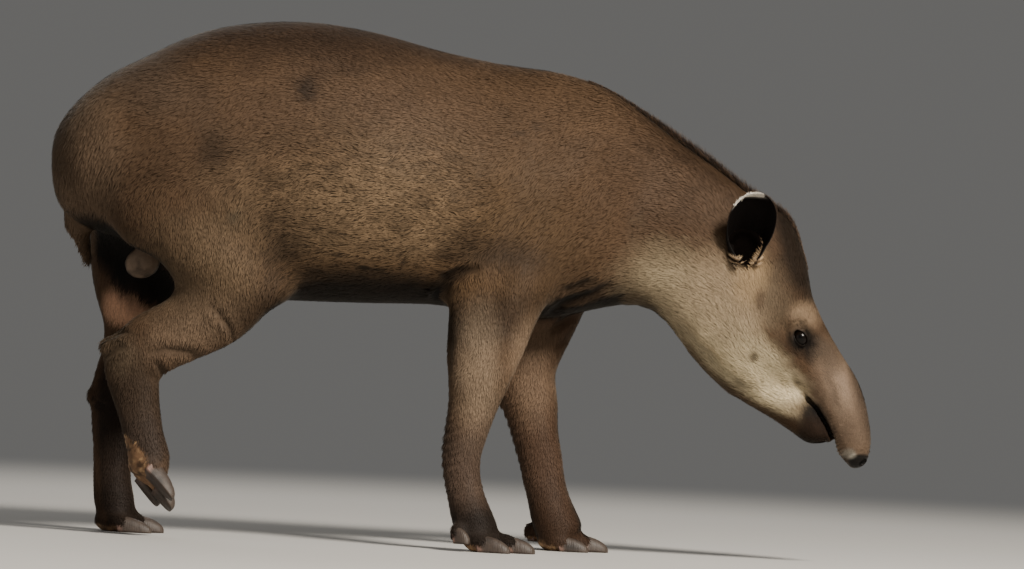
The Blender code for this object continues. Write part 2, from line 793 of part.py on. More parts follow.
def maneLocks(part, low, high):
    """The locks whose roots stand on one share of the crest, in overlapping rows."""
    chance = random.Random(part)
    locks = []
    total = crestPoint(0)[2]
    count = int((high - low) * total / maneSpacing)
    for k in range(count):
        share = low + (high - low) * (k + 0.5) / count
        point, along, _ = crestPoint(share)
        up = (-along[1], along[0])
        swell = 0.55 + 0.45 * math.sin(math.pi * min(share * 1.5 + 0.12, 1.0) * 0.5) - 0.3 * max(share - 0.85, 0) / 0.15
        aside = maneRows[k % len(maneRows)]
        lean = math.radians(aside * 2.6)
        root = (point[0], aside, point[1])
        upward = (up[0] * math.cos(lean), math.sin(lean), up[1] * math.cos(lean))
        length = maneLength * swell * chance.uniform(0.86, 1.1)
        side = (0, math.cos(lean), -math.sin(lean))
        locks.append(
            maneLock(root, (along[0], 0, along[1]), upward, side, length, maneWidth * chance.uniform(0.85, 1.1),
                     chance.uniform(-5, 5) + aside * 0.5)
        )
    return locks


def modelHead(head):
    """Eyelids round the eyes, the slit of the mouth and the nostrils."""
    for side in (-1, 1):
        x, y, z = eyeCentre
        centre = (x, -y * side, z)
        eyeName = "eye_left" if side > 0 else "eye_right"
        combine(head, [ball("lids", centre, [eyeRadius + lidThickness] * 3, 0, 16)], "UNION")
        opening = ball("opening", (x, (-y + 18) * side, z), (eyeOpening[0], 22, eyeOpening[1]), eyeSlant, 16)
        socket = ball("socket", centre, [eyeRadius + gap] * 3, 0, 16)
        combine(head, [opening], "DIFFERENCE")
        combine(head, [socket], "DIFFERENCE")
        ball(eyeName, centre, [eyeRadius] * 3, 0, 16, "eye")
        (nx, ny, nz), radii, turn = nostril
        combine(head, [ball("nostril", (nx, -ny * side, nz), radii, turn, 12)], "DIFFERENCE")
    half = mouthGap / 2
    line = np.array(mouthLine, float)
    along = np.gradient(line, axis=0)
    square = np.stack([-along[:, 1], along[:, 0]], 1) / np.linalg.norm(along, axis=1)[:, None]
    square[0] *= 0.3
    outline = [*(line + square * half), *(line - square * half)[::-1]]
    combine(head, [prism("mouth", [tuple(p) for p in outline], -140, 140)], "DIFFERENCE")


def partLegs(body):
    """Each leg as a node of its own, with its hooves let into the toes."""
    for name in legCuts:
        leg = cutFrom(body, archBlock(name, 0), archBlock(name, gap), name)
        foot = name.replace("leg", "")
        for toe in toesOf(foot):
            combine(leg, [hoof(foot, toe, gap)], "DIFFERENCE")
            hoof(foot, toe)


def partHeadAndNeck(body):
    """Head and neck with their locks of mane, each trimmed flush with its own cut, and the ears."""
    head = cutFrom(body, blockBeyond("cut", *cuts["head"], 0), blockBeyond("cut", *cuts["head"], gap), "head")
    neck = cutFrom(body, blockBeyond("cut", *cuts["neck"], 0), blockBeyond("cut", *cuts["neck"], gap), "neck")
    modelHead(head)
    combine(neck, maneLocks("neck", 0.06, maneParting), "UNION")
    combine(head, maneLocks("head", maneParting, 1.0), "UNION")
    combine(neck, [blockBeyond("cut", *cuts["head"], gap)], "DIFFERENCE")
    combine(neck, [blockBehind("cut", *cuts["neck"], 0)], "DIFFERENCE")
    combine(head, [blockBehind("cut", *cuts["head"], 0)], "DIFFERENCE")
    for side in (-1, 1):
        combine(head, [ear(side, gap)], "DIFFERENCE")
        ear(side)


def makeTail(body):
    """The tail, and its socket in the rump."""
    line = [np.array(row, float) for row in tail.values()]
    for name, grow in (("tail", 0), ("tail socket", gap)):
        rings = []
        for x, z, radius in smoothRows(line, 2):
            rings.append(ring(np.array([x, 0, z]), np.array([0.96, 0, 0.28]), np.array([0, 1, 0]),
                              radius + grow, radius + grow, radius * 1.15 + grow, 2.0, 12))
        made = loft(name, rings, (0.6, 0.8))
        if grow:
            combine(body, [made], "DIFFERENCE")


def makeScrotum(body):
    (x, z, y), radii, turn = scrotum
    ball("scrotum", (x, y, z), radii, turn, 14, "skin")
    combine(body, [ball("scrotum socket", (x, y, z), [r + gap for r in radii], turn, 14)], "DIFFERENCE")


def main():
    clearScene()
    body = fusedFlesh()
    combine(body, [floorBlock()], "DIFFERENCE")
    body.name = "torso"
    partLegs(body)
    partHeadAndNeck(body)
    makeTail(body)
    makeScrotum(body)


main()
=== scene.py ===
# A lowland tapir, life size, walking to +X with its head lowered and its right hind foot lifted.
# X runs forward, Y to the animal's left, Z up, and the floor is Z = 0. Sizes are in millimetres until a mesh
# is made from them.
import math

import bmesh
import bpy
import numpy as np
from mathutils import Euler, Matrix, Vector
from mathutils.bvhtree import BVHTree


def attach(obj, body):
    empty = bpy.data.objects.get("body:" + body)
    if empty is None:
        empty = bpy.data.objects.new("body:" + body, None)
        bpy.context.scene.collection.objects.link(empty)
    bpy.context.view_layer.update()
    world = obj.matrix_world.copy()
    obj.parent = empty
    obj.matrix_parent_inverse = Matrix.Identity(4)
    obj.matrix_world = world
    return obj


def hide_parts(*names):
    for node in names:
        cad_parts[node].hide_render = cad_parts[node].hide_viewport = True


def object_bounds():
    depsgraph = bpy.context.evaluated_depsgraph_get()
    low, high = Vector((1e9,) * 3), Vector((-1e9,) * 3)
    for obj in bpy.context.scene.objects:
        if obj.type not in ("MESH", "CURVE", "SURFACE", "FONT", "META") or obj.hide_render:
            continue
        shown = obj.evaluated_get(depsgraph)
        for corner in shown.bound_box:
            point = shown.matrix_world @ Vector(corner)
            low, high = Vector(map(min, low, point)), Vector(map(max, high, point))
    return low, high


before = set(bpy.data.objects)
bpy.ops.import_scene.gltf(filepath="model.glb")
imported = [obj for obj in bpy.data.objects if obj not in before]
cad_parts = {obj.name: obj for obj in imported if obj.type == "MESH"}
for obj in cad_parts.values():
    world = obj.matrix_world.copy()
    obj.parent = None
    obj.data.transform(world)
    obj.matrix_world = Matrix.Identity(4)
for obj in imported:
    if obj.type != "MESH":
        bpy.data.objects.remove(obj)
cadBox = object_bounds()

mm = 0.001
chance = np.random.default_rng(17)  # every draw below comes from this seed, so each run is the same
leftward, upward = np.array([0, 1, 0]), np.array([0, 0, 1])
sideNames = {-1: "right", 1: "left"}  # by the sign of y


# An sRGB hex colour in linear light
def linear(hexColour):
    channels = [int(hexColour[i : i + 2], 16) / 255 for i in (1, 3, 5)]
    return np.array([c / 12.92 if c <= 0.04045 else ((c + 0.055) / 1.055) ** 2.4 for c in channels])


def addNode(tree, kind, settings=None, links=None):
    node = tree.nodes.new("ShaderNode" + kind)
    for name, value in (settings or {}).items():
        if isinstance(name, str) and hasattr(node, name):
            setattr(node, name, value)
        else:
            node.inputs[name].default_value = value
    for name, source in (links or {}).items():
        tree.links.new(source, node.inputs[name])
    return node


def newMaterial(name):
    made = bpy.data.materials.new(name)
    made.use_nodes = True
    made.node_tree.nodes.clear()
    return made, made.node_tree


# What the animal's materials share: the mesh's colour, darker and lighter in patches of so many millimetres.
# The span is the part of the noise that is used, and the change is how dark and how light it makes the colour
def patchyMaterial(name, patch, detail, span, change, roughness=0.5):
    made, tree = newMaterial(name)
    hue = addNode(tree, "Attribute", {"attribute_name": "hue"})
    where = addNode(tree, "TexCoord").outputs["Object"]
    settings = {"Scale": 1 / (patch * mm), "Detail": detail, "Roughness": roughness}
    patches = addNode(tree, "TexNoise", settings, {"Vector": where}).outputs["Fac"]
    settings = {"From Min": span[0], "From Max": span[1], "To Min": change[0], "To Max": change[1]}
    scale = addNode(tree, "MapRange", settings, {"Value": patches})
    links = {0: hue.outputs["Color"], "Scale": scale.outputs["Result"]}
    colour = addNode(tree, "VectorMath", {"operation": "SCALE"}, links)
    return made, tree, where, patches, colour.outputs["Vector"]


def smoothStep(low, high, values):
    t = np.clip((values - low) / (high - low), 0, 1)
    return t * t * (3 - 2 * t)


def blendTone(colours, hexColour, weight):
    return colours + (linear(hexColour) - colours) * weight[:, None]


# Smooth noise from -1 to 1 over points in millimetres, with patches of that size
def grain(points, size, seed):
    cell = np.asarray(points, float) / size + 977.3
    low = np.floor(cell).astype(np.int64)
    part = cell - low
    part = part * part * (3 - 2 * part)
    total = np.zeros(len(cell))
    for step in np.ndindex(2, 2, 2):
        x, y, z = (low + step).T
        # large primes mix the place of each corner into a number of its own
        key = x * 73856093 ^ y * 19349663 ^ z * 83492791 ^ seed * 2654435761
        key = (key ^ (key >> 13)) * 1274126177 & 0xFFFFFFFF
        key = (key ^ (key >> 16)) & 0xFFFF
        total += np.abs(1 - np.array(step) - part).prod(1) * (key / 32767.5 - 1)
    return total


# How far points are from the middle of an ellipse on the animal's side, 1 at its edge
def inEllipse(points, middle, radii, turn=0):
    c, s = math.cos(math.radians(turn)), math.sin(math.radians(turn))
    dx, dz = points[:, 0] - middle[0], points[:, 2] - middle[1]
    return np.hypot((dx * c + dz * s) / radii[0], (dz * c - dx * s) / radii[1])


# How far points are from a line of points, and how far along it the nearest place is
def alongLine(flat, line):
    line = np.array(line, float)
    steps = np.linalg.norm(np.diff(line, axis=0), axis=1)
    starts = np.concatenate([[0], np.cumsum(steps)])
    best = np.full(len(flat), 1e9)
    share = np.zeros(len(flat))
    for i, step in enumerate(steps):
        way = (line[i + 1] - line[i]) / step
        off = flat - line[i]
        t = np.clip(off @ way, 0, step)
        far = np.linalg.norm(off - t[:, None] * way, axis=1)
        nearer = far < best
        best = np.where(nearer, far, best)
        share = np.where(nearer, (starts[i] + t) / starts[-1], share)
    return best, share


# Each row as a direction of length 1
def unit(rows, least=0.0):
    return rows / (np.linalg.norm(rows, axis=1)[:, None] + least)


# The part of each direction that lies along the surface
def flattened(way, normal, least=1e-9):
    return unit(way - normal * (way * normal).sum(1)[:, None], least)


# Directions turned about the surface's normal, each by its own angle
def turned(way, normal, angle):
    return way * np.cos(angle)[:, None] + np.cross(normal, way) * np.sin(angle)[:, None]


def linked(name, data):
    made = bpy.data.objects.new(name, data)
    bpy.context.scene.collection.objects.link(made)
    return made


def meshFrom(name, points, triangles, smooth=True):
    mesh = bpy.data.meshes.new(name)
    mesh.vertices.add(len(points))
    mesh.vertices.foreach_set("co", (np.asarray(points) * mm).astype(np.float32).ravel())
    mesh.loops.add(triangles.size)
    mesh.loops.foreach_set("vertex_index", triangles.astype(np.int32).ravel())
    mesh.polygons.add(len(triangles))
    mesh.polygons.foreach_set("loop_start", np.arange(0, triangles.size, 3, dtype=np.int32))
    mesh.polygons.foreach_set("use_smooth", np.full(len(triangles), smooth))
    mesh.update(calc_edges=True)
    return mesh


def facedOut(mesh, triangulated=False):
    work = bmesh.new()
    work.from_mesh(mesh)
    bmesh.ops.recalc_face_normals(work, faces=work.faces)
    if triangulated:
        bmesh.ops.triangulate(work, faces=work.faces, quad_method="FIXED", ngon_method="EAR_CLIP")
    work.to_mesh(mesh)
    work.free()
    return mesh


def addColours(mesh, colours):
    layer = mesh.color_attributes.new("hue", "FLOAT_COLOR", "POINT")
    rgba = np.ones((len(colours), 4), np.float32)
    rgba[:, :3] = np.clip(colours, 0, 1)
    layer.data.foreach_set("color", rgba.ravel())


def addValues(mesh, name, values):
    layer = mesh.attributes.new(name, "FLOAT", "POINT")
    layer.data.foreach_set("value", np.asarray(values, np.float32))


# Puts a finished mesh into the scene, on the animal's one body
def place(mesh, material):
    mesh.materials.append(material)
    made = linked(mesh.name, mesh)
    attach(made, "root")
    return made


def pointsOf(mesh, kind="co", size=mm):
    flat = np.empty(len(mesh.vertices) * 3, np.float32)
    mesh.vertices.foreach_get(kind, flat)
    return flat.reshape(-1, 3).astype(float) / size


def normalsOf(mesh):
    return pointsOf(mesh, "normal", 1)


def setPoints(mesh, points):
    mesh.vertices.foreach_set("co", (points * mm).astype(np.float32).ravel())
    mesh.update()


# How many triangles a mesh makes once its larger faces are cut
def triangleCount(mesh):
    return sum(len(p.vertices) - 2 for p in mesh.polygons)


# Rows of numbers with more rows eased in between them, on a curve through them all
def smoothRows(rows, steps):
    rows = np.array(rows, float)
    ends = np.vstack([2 * rows[0] - rows[1], rows, 2 * rows[-1] - rows[-2]])
    out = []
    for a, b, c, d in zip(ends, ends[1:], ends[2:], ends[3:]):
        for t in np.arange(steps) / steps:
            curve = 2 * b + (c - a) * t + (2 * a - 5 * b + 4 * c - d) * t**2
            out.append(0.5 * (curve + (3 * b - a - 3 * c + d) * t**3))
    return np.array([*out, rows[-1]])


# Cosine and sine of an angle, pushed out towards a square
def rounded(angle, squareness):
    c, s = math.cos(angle), math.sin(angle)
    power = 2 / squareness
    return math.copysign(abs(c) ** power, c), math.copysign(abs(s) ** power, s)


# A ring of points: its reach above and below its centre, half its width, and how square it is on top, where 2
# is an ellipse. The flesh is a little squarer than that
def ring(centre, up, above, below, half, crest=2.1, sides=16):
    points = []
    for k in range(sides):
        angle = 2 * math.pi * k / sides
        across, height = rounded(angle, crest if angle < math.pi else 2.1)
        points.append(centre + leftward * (half * across) + up * ((above if height > 0 else below) * height))
    return points


# A tube over the rings, with a dome at each end as deep as that share of the ring's size
def loft(name, rings, domes=(0.35, 0.35)):
    rings = [np.array(r, float) for r in rings]
    count = len(rings[0])

    def domed(end, before, share):
        middle = end.mean(0)
        out = middle - before.mean(0)
        out /= np.linalg.norm(out)
        depth = share * np.linalg.norm(end - middle, axis=1).mean()
        angles = [math.radians(a) for a in (30, 55, 75)]
        shells = [middle + (end - middle) * math.cos(a) + out * depth * math.sin(a) for a in angles]
        return shells, middle + out * depth

    startRings, startPole = domed(rings[0], rings[1], domes[0])
    endRings, endPole = domed(rings[-1], rings[-2], domes[1])
    rings = startRings[::-1] + rings + endRings
    points = np.vstack([*rings, startPole, endPole])
    top, first, last = (len(rings) - 1) * count, len(points) - 2, len(points) - 1
    after = [(k, (k + 1) % count) for k in range(count)]
    faces = [(i + k, i + n, i + count + n, i + count + k) for i in range(0, top, count) for k, n in after]
    for k, n in after:
        faces += [(first, n, k), (last, top + k, top + n)]
    mesh = bpy.data.meshes.new(name)
    mesh.from_pydata([Vector(p) * mm for p in points], [], faces)
    return linked(name, facedOut(mesh, True))


def ball(name, centre, radii, turn=0.0, rounds=16):
    mesh = bpy.data.meshes.new(name)
    work = bmesh.new()
    bmesh.ops.create_uvsphere(work, u_segments=rounds, v_segments=rounds * 2 // 3, radius=1)
    where = Matrix.Translation(Vector(centre) * mm) @ Matrix.Rotation(math.radians(turn), 4, "Y")
    work.transform(where @ Matrix.Diagonal((*(r * mm for r in radii), 1)))
    work.to_mesh(mesh)
    work.free()
    return linked(name, mesh)


# Each section of the trunk: its top point and its low point in the plane of symmetry, half its width,
# how far up it is widest, and how square its upper half is (2 is an ellipse, less is a ridge).
trunk = {
    "rump": (-830, 806, -820, 650, 76, 0.50, 2.0),
    "pin bones": (-793, 860, -783, 610, 120, 0.50, 2.0),
    "hips": (-730, 918, -722, 596, 152, 0.49, 2.1),
    "croup": (-666, 953, -656, 578, 176, 0.47, 2.1),
    "sacrum": (-549, 1012, -530, 512, 205, 0.45, 2.1),
    "loin": (-430, 1038, -404, 478, 222, 0.43, 2.1),
    "back": (-310, 1042, -284, 476, 231, 0.41, 2.1),
    "ribs": (-189, 1026, -164, 478, 233, 0.41, 2.1),
    "girth": (-68, 998, -44, 480, 218, 0.43, 2.0),
    "elbows": (54, 978, 77, 468, 190, 0.45, 1.9),
    "withers": (174, 968, 190, 466, 158, 0.47, 1.7),
    "neck root": (262, 945, 258, 482, 136, 0.47, 1.6),
    "low neck": (337, 901, 308, 494, 118, 0.46, 1.6),
    "mid neck": (416, 845, 348, 497, 106, 0.46, 1.6),
    "high neck": (498, 787, 378, 488, 99, 0.46, 1.6),
    "throat": (560, 742, 403, 470, 95, 0.47, 1.7),
    "poll": (613, 714, 432, 438, 93, 0.48, 1.7),
    "crown": (654, 684, 463, 400, 93, 0.50, 1.7),
    "brow": (686, 606, 513, 352, 95, 0.52, 1.8),
    "eyes": (701, 537, 560, 322, 84, 0.53, 2.0),
    "cheeks": (727, 482, 622, 330, 66, 0.52, 2.1),
    "muzzle": (763, 424, 672, 345, 54, 0.50, 2.1),
    "snout root": (796, 376, 706, 322, 47, 0.50, 2.1),
    "snout": (814, 334, 733, 285, 42, 0.50, 2.1),
    "mid snout": (825, 292, 751, 251, 38, 0.50, 2.1),
    "low snout": (831, 251, 767, 222, 35, 0.50, 2.1),
    "snout tip": (827, 217, 785, 199, 29, 0.50, 2.2),
}

# The lower jaw, in the same way, from inside the cheek to the chin.
jaw = {
    "jaw angle": (590, 440, 522, 346, 66, 0.50, 2.2),
    "mid jaw": (645, 390, 574, 313, 52, 0.50, 2.2),
    "jaw front": (690, 348, 630, 284, 41, 0.50, 2.2),
    "chin back": (714, 318, 668, 262, 35, 0.50, 2.2),
    "chin": (736, 288, 702, 241, 31, 0.50, 2.2),
    "lower lip": (748, 262, 734, 242, 24, 0.50, 2.2),
}

# A loft over sections that are given by their top and low points, as the trunk's are
def profileLoft(name, sections, sides, domes):
    rings = []
    for topX, topZ, lowX, lowZ, half, level, crest in smoothRows(list(sections.values()), 4):
        top, low = np.array([topX, 0, topZ]), np.array([lowX, 0, lowZ])
        height = np.linalg.norm(top - low)
        centre = low + (top - low) * level
        up = (top - low) / height
        rings.append(ring(centre, up, height * (1 - level), height * level, half, crest, sides))
    return loft(name, rings, domes)


# The legs, from the top down. Right and left share half the depth and half the width, times each one's girth.
# Then, for the right and for the left, where it stands: x, z and the distance from the plane of symmetry.
foreLegs = {
    "girth": (0.95, 1.07),
    "shoulder": ((112, 46), (128, 690, -102), (175, 690, 102)),
    "upper arm": ((108, 60), (80, 545, -118), (152, 545, 116)),
    "elbow": ((90, 62), (52, 420, -120), (127, 430, 117)),
    "forearm": ((69, 53), (40, 341, -120), (126, 353, 116)),
    "low forearm": ((55, 42), (31, 288, -118), (146, 290, 114)),
    "wrist": ((47, 39), (17, 221, -116), (158, 233, 112)),
    "low wrist": ((44, 36), (13, 185, -116), (170, 187, 112)),
    "cannon": ((42, 35), (16, 150, -116), (179, 147, 112)),
    "fetlock": ((41, 37), (25, 112, -116), (190, 108, 112)),
    "pastern": ((44, 40), (38, 72, -116), (202, 72, 112)),
    "sole": ((45, 42), (54, 36, -116), (219, 36, 112)),
}
hindLegs = {
    "girth": (1.0, 0.93),
    "hip": ((150, 60), (-600, 762, -100), (-604, 762, 100)),
    "thigh": ((156, 78), (-546, 655, -116), (-628, 640, 112)),
    "low thigh": ((112, 76), (-458, 540, -124), (-656, 520, 116)),
    "knee": ((88, 58), (-490, 462, -122), (-651, 440, 112)),
    "shank": ((73, 46), (-556, 416, -114), (-656, 380, 106)),
    "low shank": ((70, 40), (-612, 384, -106), (-668, 325, 100)),
    "hock": ((64, 39), (-645, 345, -100), (-684, 276, 96)),
    "low hock": ((54, 36), (-643, 303, -98), (-690, 232, 94)),
    "cannon": ((45, 33), (-629, 240, -96), (-690, 160, 92)),
    "fetlock": ((43, 35), (-617, 190, -95), (-689, 112, 92)),
    "pastern": ((45, 38), (-608, 158, -94), (-684, 70, 92)),
    "sole": ((43, 40), (-608, 129, -94), (-676, 36, 92)),
}


def legLoft(legs, which):
    sections = [row for key, row in legs.items() if key != "girth"]
    rows = [(*row[1 + which], *(v * legs["girth"][which] for v in row[0])) for row in sections]
    rows = smoothRows(rows, 3)
    rings = []
    for (x, z, y, depth, half), (dx, dz) in zip(rows, np.gradient(rows[:, :2], axis=0)):
        forward = np.array([-dz, 0, dx]) / math.hypot(dx, dz)
        rings.append(ring(np.array([x, y, z]), forward, depth, depth, half, sides=24))
    return loft("leg", rings)


# Feet. The frame of a foot has its origin on the sole under the middle of the pad, with +X to the toes.
# Each foot: origin, then pitch, yaw and roll in degrees.
feet = {
    "fore_right": ((62, -116, 0), (0, -6, 0)),
    "fore_left": ((210, 112, 0), (0, 6, 0)),
    "hind_right": ((-628, -94, 124), (46, -4, -24)),
    "hind_left": ((-680, 92, 0), (0, 6, 0)),
}
# Each toe: how far ahead and how far outward the hoof starts, its turn outward in degrees, then the hoof's
# length, half its width, its height and how far it hangs above the sole.
foreToes = {
    "middle": (56, 2, 2, 50, 20, 34, 0),
    "outer": (0, 34, 13, 62, 17, 36, 0),
    "inner": (6, -31, -12, 56, 16, 33, 0),
    "little": (-46, 44, 28, 30, 12, 36, 15),
}
hindToes = {
    "middle": (46, 0, 0, 54, 21, 36, 0),
    "outer": (11, 35, 12, 78, 18, 36, 0),
    "inner": (8, -34, -12, 66, 17, 34, 0),
}
padRadii = {"fore": (44, 38, 26), "hind": (46, 38, 27)}
# The flesh of a toe at shares of its hoof's length, with its height and width as shares of the hoof's
toeFlesh = ((-0.4, 1.25, 0.95), (-0.2, 1.25, 1.1), (0.02, 1.18, 1.16), (0.3, 0.98, 1.08))


def footPlace(foot):
    origin, turns = feet[foot]
    pitch, yaw, roll = (math.radians(turn) for turn in turns)
    return Matrix.Translation(Vector(origin)) @ Euler((roll, pitch, yaw), "XYZ").to_matrix().to_4x4()


def toesOf(foot):
    return foreToes if foot.startswith("fore") else hindToes


def toePlace(foot, toe):
    ahead, aside, turn = toesOf(foot)[toe][:3]
    outward = -1 if foot.endswith("right") else 1
    where = footPlace(foot) @ Matrix.Translation((ahead, aside * outward, 0))
    return where @ Matrix.Rotation(math.radians(turn * outward), 4, "Z")


# The same placement for points that are already in metres
def inMetres(where):
    return Matrix.Translation(where.translation * mm) @ where.to_3x3().to_4x4()


# The pad of a foot and the flesh of its toes, which laps over the root of each hoof
def footFlesh(foot):
    pieces = [ball(f"pad {foot}", (0, 0, 0), padRadii[foot.split("_")[0]])]
    pieces[0].data.transform(inMetres(footPlace(foot) @ Matrix.Translation((2, 0, 20))))
    for toe, (_, _, _, length, half, height, lift) in toesOf(foot).items():
        rings = []
        for share, tall, wide in toeFlesh:
            high = height * tall / 2
            middle = np.array([length * share, 0, lift + high - 2])
            rings.append(ring(middle, upward, high, high, half * wide))
        made = loft(f"toe {foot} {toe}", rings, (0.3, 0.25))
        made.data.transform(inMetres(toePlace(foot, toe)))
        pieces.append(made)
    return pieces


# Balls fused into the flesh: centre, radii and turn about Y in degrees.
knobs = {
    "right hock": ((-690, 371, -98), (38, 26, 27), 32),
    "left hock": ((-717, 272, 96), (35, 26, 30), 0),
    "right flank fold": ((-372, 505, -120), (46, 56, 44), 40),
    "left flank fold": ((-470, 540, 120), (46, 50, 44), 40),
}

# The tail's centre line and radii, and the scrotum's middle, radii and turn about Y
tail = {
    "root": (-762, 712, 26),
    "upper": (-780, 664, 29),
    "middle": (-776, 618, 30),
    "lower": (-765, 588, 21),
    "low": (-757, 562, 15),
    "tip": (-750, 541, 10),
}
scrotum = ((-642, 542, 0), (41, 28.5, 36), -24)


def fleshPieces():
    pieces = [profileLoft("trunk", trunk, 40, (0.14, 0.5)), profileLoft("jaw", jaw, 28, (0.4, 0.3))]
    pieces += [legLoft(legs, which) for legs in (foreLegs, hindLegs) for which in (0, 1)]
    for name, ((x, z, y), radii, turn) in knobs.items():
        pieces.append(ball(name, (x, y, z), radii, turn))
    for foot in feet:
        pieces += footFlesh(foot)
    return pieces


def tailForm():
    across = np.array([0.96, 0, 0.28])  # at right angles to the way it hangs
    rows = smoothRows(list(tail.values()), 2)
    rings = [ring(np.array([x, 0, z]), across, r, r, r * 1.15, 2.0) for x, z, r in rows]
    return loft("tail", rings, (0.6, 0.8))


def joined(pieces, name):
    work = bmesh.new()
    for piece in pieces:
        piece.data.transform(piece.matrix_world)
        work.from_mesh(piece.data)
        bpy.data.objects.remove(piece)
    mesh = bpy.data.meshes.new(name)
    work.to_mesh(mesh)
    work.free()
    return linked(name, mesh)


# Turns what a thing's modifiers show into its own mesh
def applied(thing):
    bpy.context.view_layer.update()
    graph = bpy.context.evaluated_depsgraph_get()
    mesh = bpy.data.meshes.new_from_object(thing.evaluated_get(graph))
    thing.modifiers.clear()
    thing.data = mesh


def fused(thing, grainSize):
    fuse = thing.modifiers.new("fuse", "REMESH")
    fuse.mode = "VOXEL"
    fuse.voxel_size = grainSize * mm
    applied(thing)


# Drops all but the closed surface with the most faces
def outermost(thing):
    work = bmesh.new()
    work.from_mesh(thing.data)
    left = set(work.faces)
    shells = []
    while left:
        stack = [left.pop()]
        shell = list(stack)
        while stack:
            for edge in stack.pop().edges:
                for face in edge.link_faces:
                    if face in left:
                        left.discard(face)
                        stack.append(face)
                        shell.append(face)
        shells.append(shell)
    shells.sort(key=len)
    for shell in shells[:-1]:
        bmesh.ops.delete(work, geom=shell, context="FACES")
    work.to_mesh(thing.data)
    work.free()


# How much the skin is eased at each point: most on the trunk, least on the head and the feet
def softness(points):
    x, _, z = points.T
    aboveLegs, behindHead = np.clip((z - 330) / 160, 0, 1), np.clip((480 - x) / 160, 0, 1)
    return 0.05 + 0.95 * (aboveLegs * behindHead)


# Evens out a mesh: each round moves every point towards its neighbours, and then part of the way back
def eased(mesh, rounds, share, back):
    points = pointsOf(mesh)
    edges = np.empty(len(mesh.edges) * 2, int)
    mesh.edges.foreach_get("vertices", edges)
    a, b = edges.reshape(-1, 2).T
    total = len(points)
    count = np.bincount(np.concatenate([a, b]), minlength=total)[:, None]
    for _ in range(rounds):
        weight = share(points)[:, None] if callable(share) else share
        for factor in (0.5, -back):
            sums = [np.bincount(a, p[b], total) + np.bincount(b, p[a], total) for p in points.T]
            points = points + (np.stack(sums, 1) / count - points) * factor * weight
    setPoints(mesh, points)


# Soft swellings (a positive height) and hollows (a negative one): centre, radii, turn about Y in degrees and
# height. Each is given for the left side and mirrored.
swells = {
    "shoulder blade": ((225, 770, 110), (62, 190, 120), 22, 9),
    "behind the shoulder": ((92, 640, 175), (48, 170, 100), 14, -11),
    "shoulder point": ((268, 590, 110), (84, 96, 90), 0, 12),
    "base of the neck": ((345, 690, 95), (46, 150, 90), 22, -7),
    "triceps": ((90, 540, 160), (90, 80, 70), -20, 8),
    "hip": ((-520, 905, 130), (100, 60, 90), 0, 6),
    "flank hollow": ((-395, 650, 220), (90, 130, 120), 20, -12),
    "thigh": ((-590, 660, 175), (120, 150, 110), 0, 12),
    "ribs": ((-180, 640, 225), (190, 150, 120), 0, 5),
    "rump": ((-745, 760, 110), (80, 90, 100), 0, 8),
    "cheek muscle": ((560, 430, 80), (70, 74, 60), 38, 7),
    "jaw hollow": ((610, 385, 70), (60, 18, 50), 42, -5),
    "cheek bone": ((650, 438, 80), (60, 16, 40), 44, 5),
    "temple": ((640, 560, 80), (46, 60, 50), 22, -6),
    "brow": ((672, 476, 80), (26, 13, 40), 36, 9),
    "eye socket": ((680, 452, 86), (24, 15, 40), 52, -7),
    "before the eye": ((708, 414, 70), (34, 22, 40), 50, -5),
    "snout side": ((770, 330, 40), (22, 60, 40), -20, 3),
}
# Hollows of one side only, in the same way, with the side in the sign of y: the slack of the lifted thigh
sideHollows = {
    "behind the right thigh": ((-612, 540, -105), (64, 54, 74), 0, -33),
}

def swelled(mesh):
    points, normals = pointsOf(mesh), normalsOf(mesh)
    moved = points.copy()
    placed = [(row, side) for row in swells.values() for side in (-1, 1)]
    placed += [(row, 1) for row in sideHollows.values()]
    for ((x, z, y), (rx, rz, ry), turn, height), side in placed:
        c, s = math.cos(math.radians(turn)), math.sin(math.radians(turn))
        off = points - (x, y * side, z)
        ahead, up = off[:, 0] * c - off[:, 2] * s, off[:, 0] * s + off[:, 2] * c
        far = (ahead / rx) ** 2 + (up / rz) ** 2 + (off[:, 1] / ry) ** 2
        moved += normals * (height * np.exp(-far * 1.2))[:, None]
    setPoints(mesh, moved)


# Splits the edges near a place into two, so that finer forms can be modelled there
def refined(mesh, near):
    inside = near(pointsOf(mesh))
    work = bmesh.new()
    work.from_mesh(mesh)
    work.verts.ensure_lookup_table()
    edges = [e for e in work.edges if inside[e.verts[0].index] and inside[e.verts[1].index]]
    bmesh.ops.subdivide_edges(work, edges=edges, cuts=1, use_grid_fill=True)
    bmesh.ops.triangulate(work, faces=[f for f in work.faces if len(f.verts) > 3])
    work.to_mesh(mesh)
    work.free()
    mesh.update()


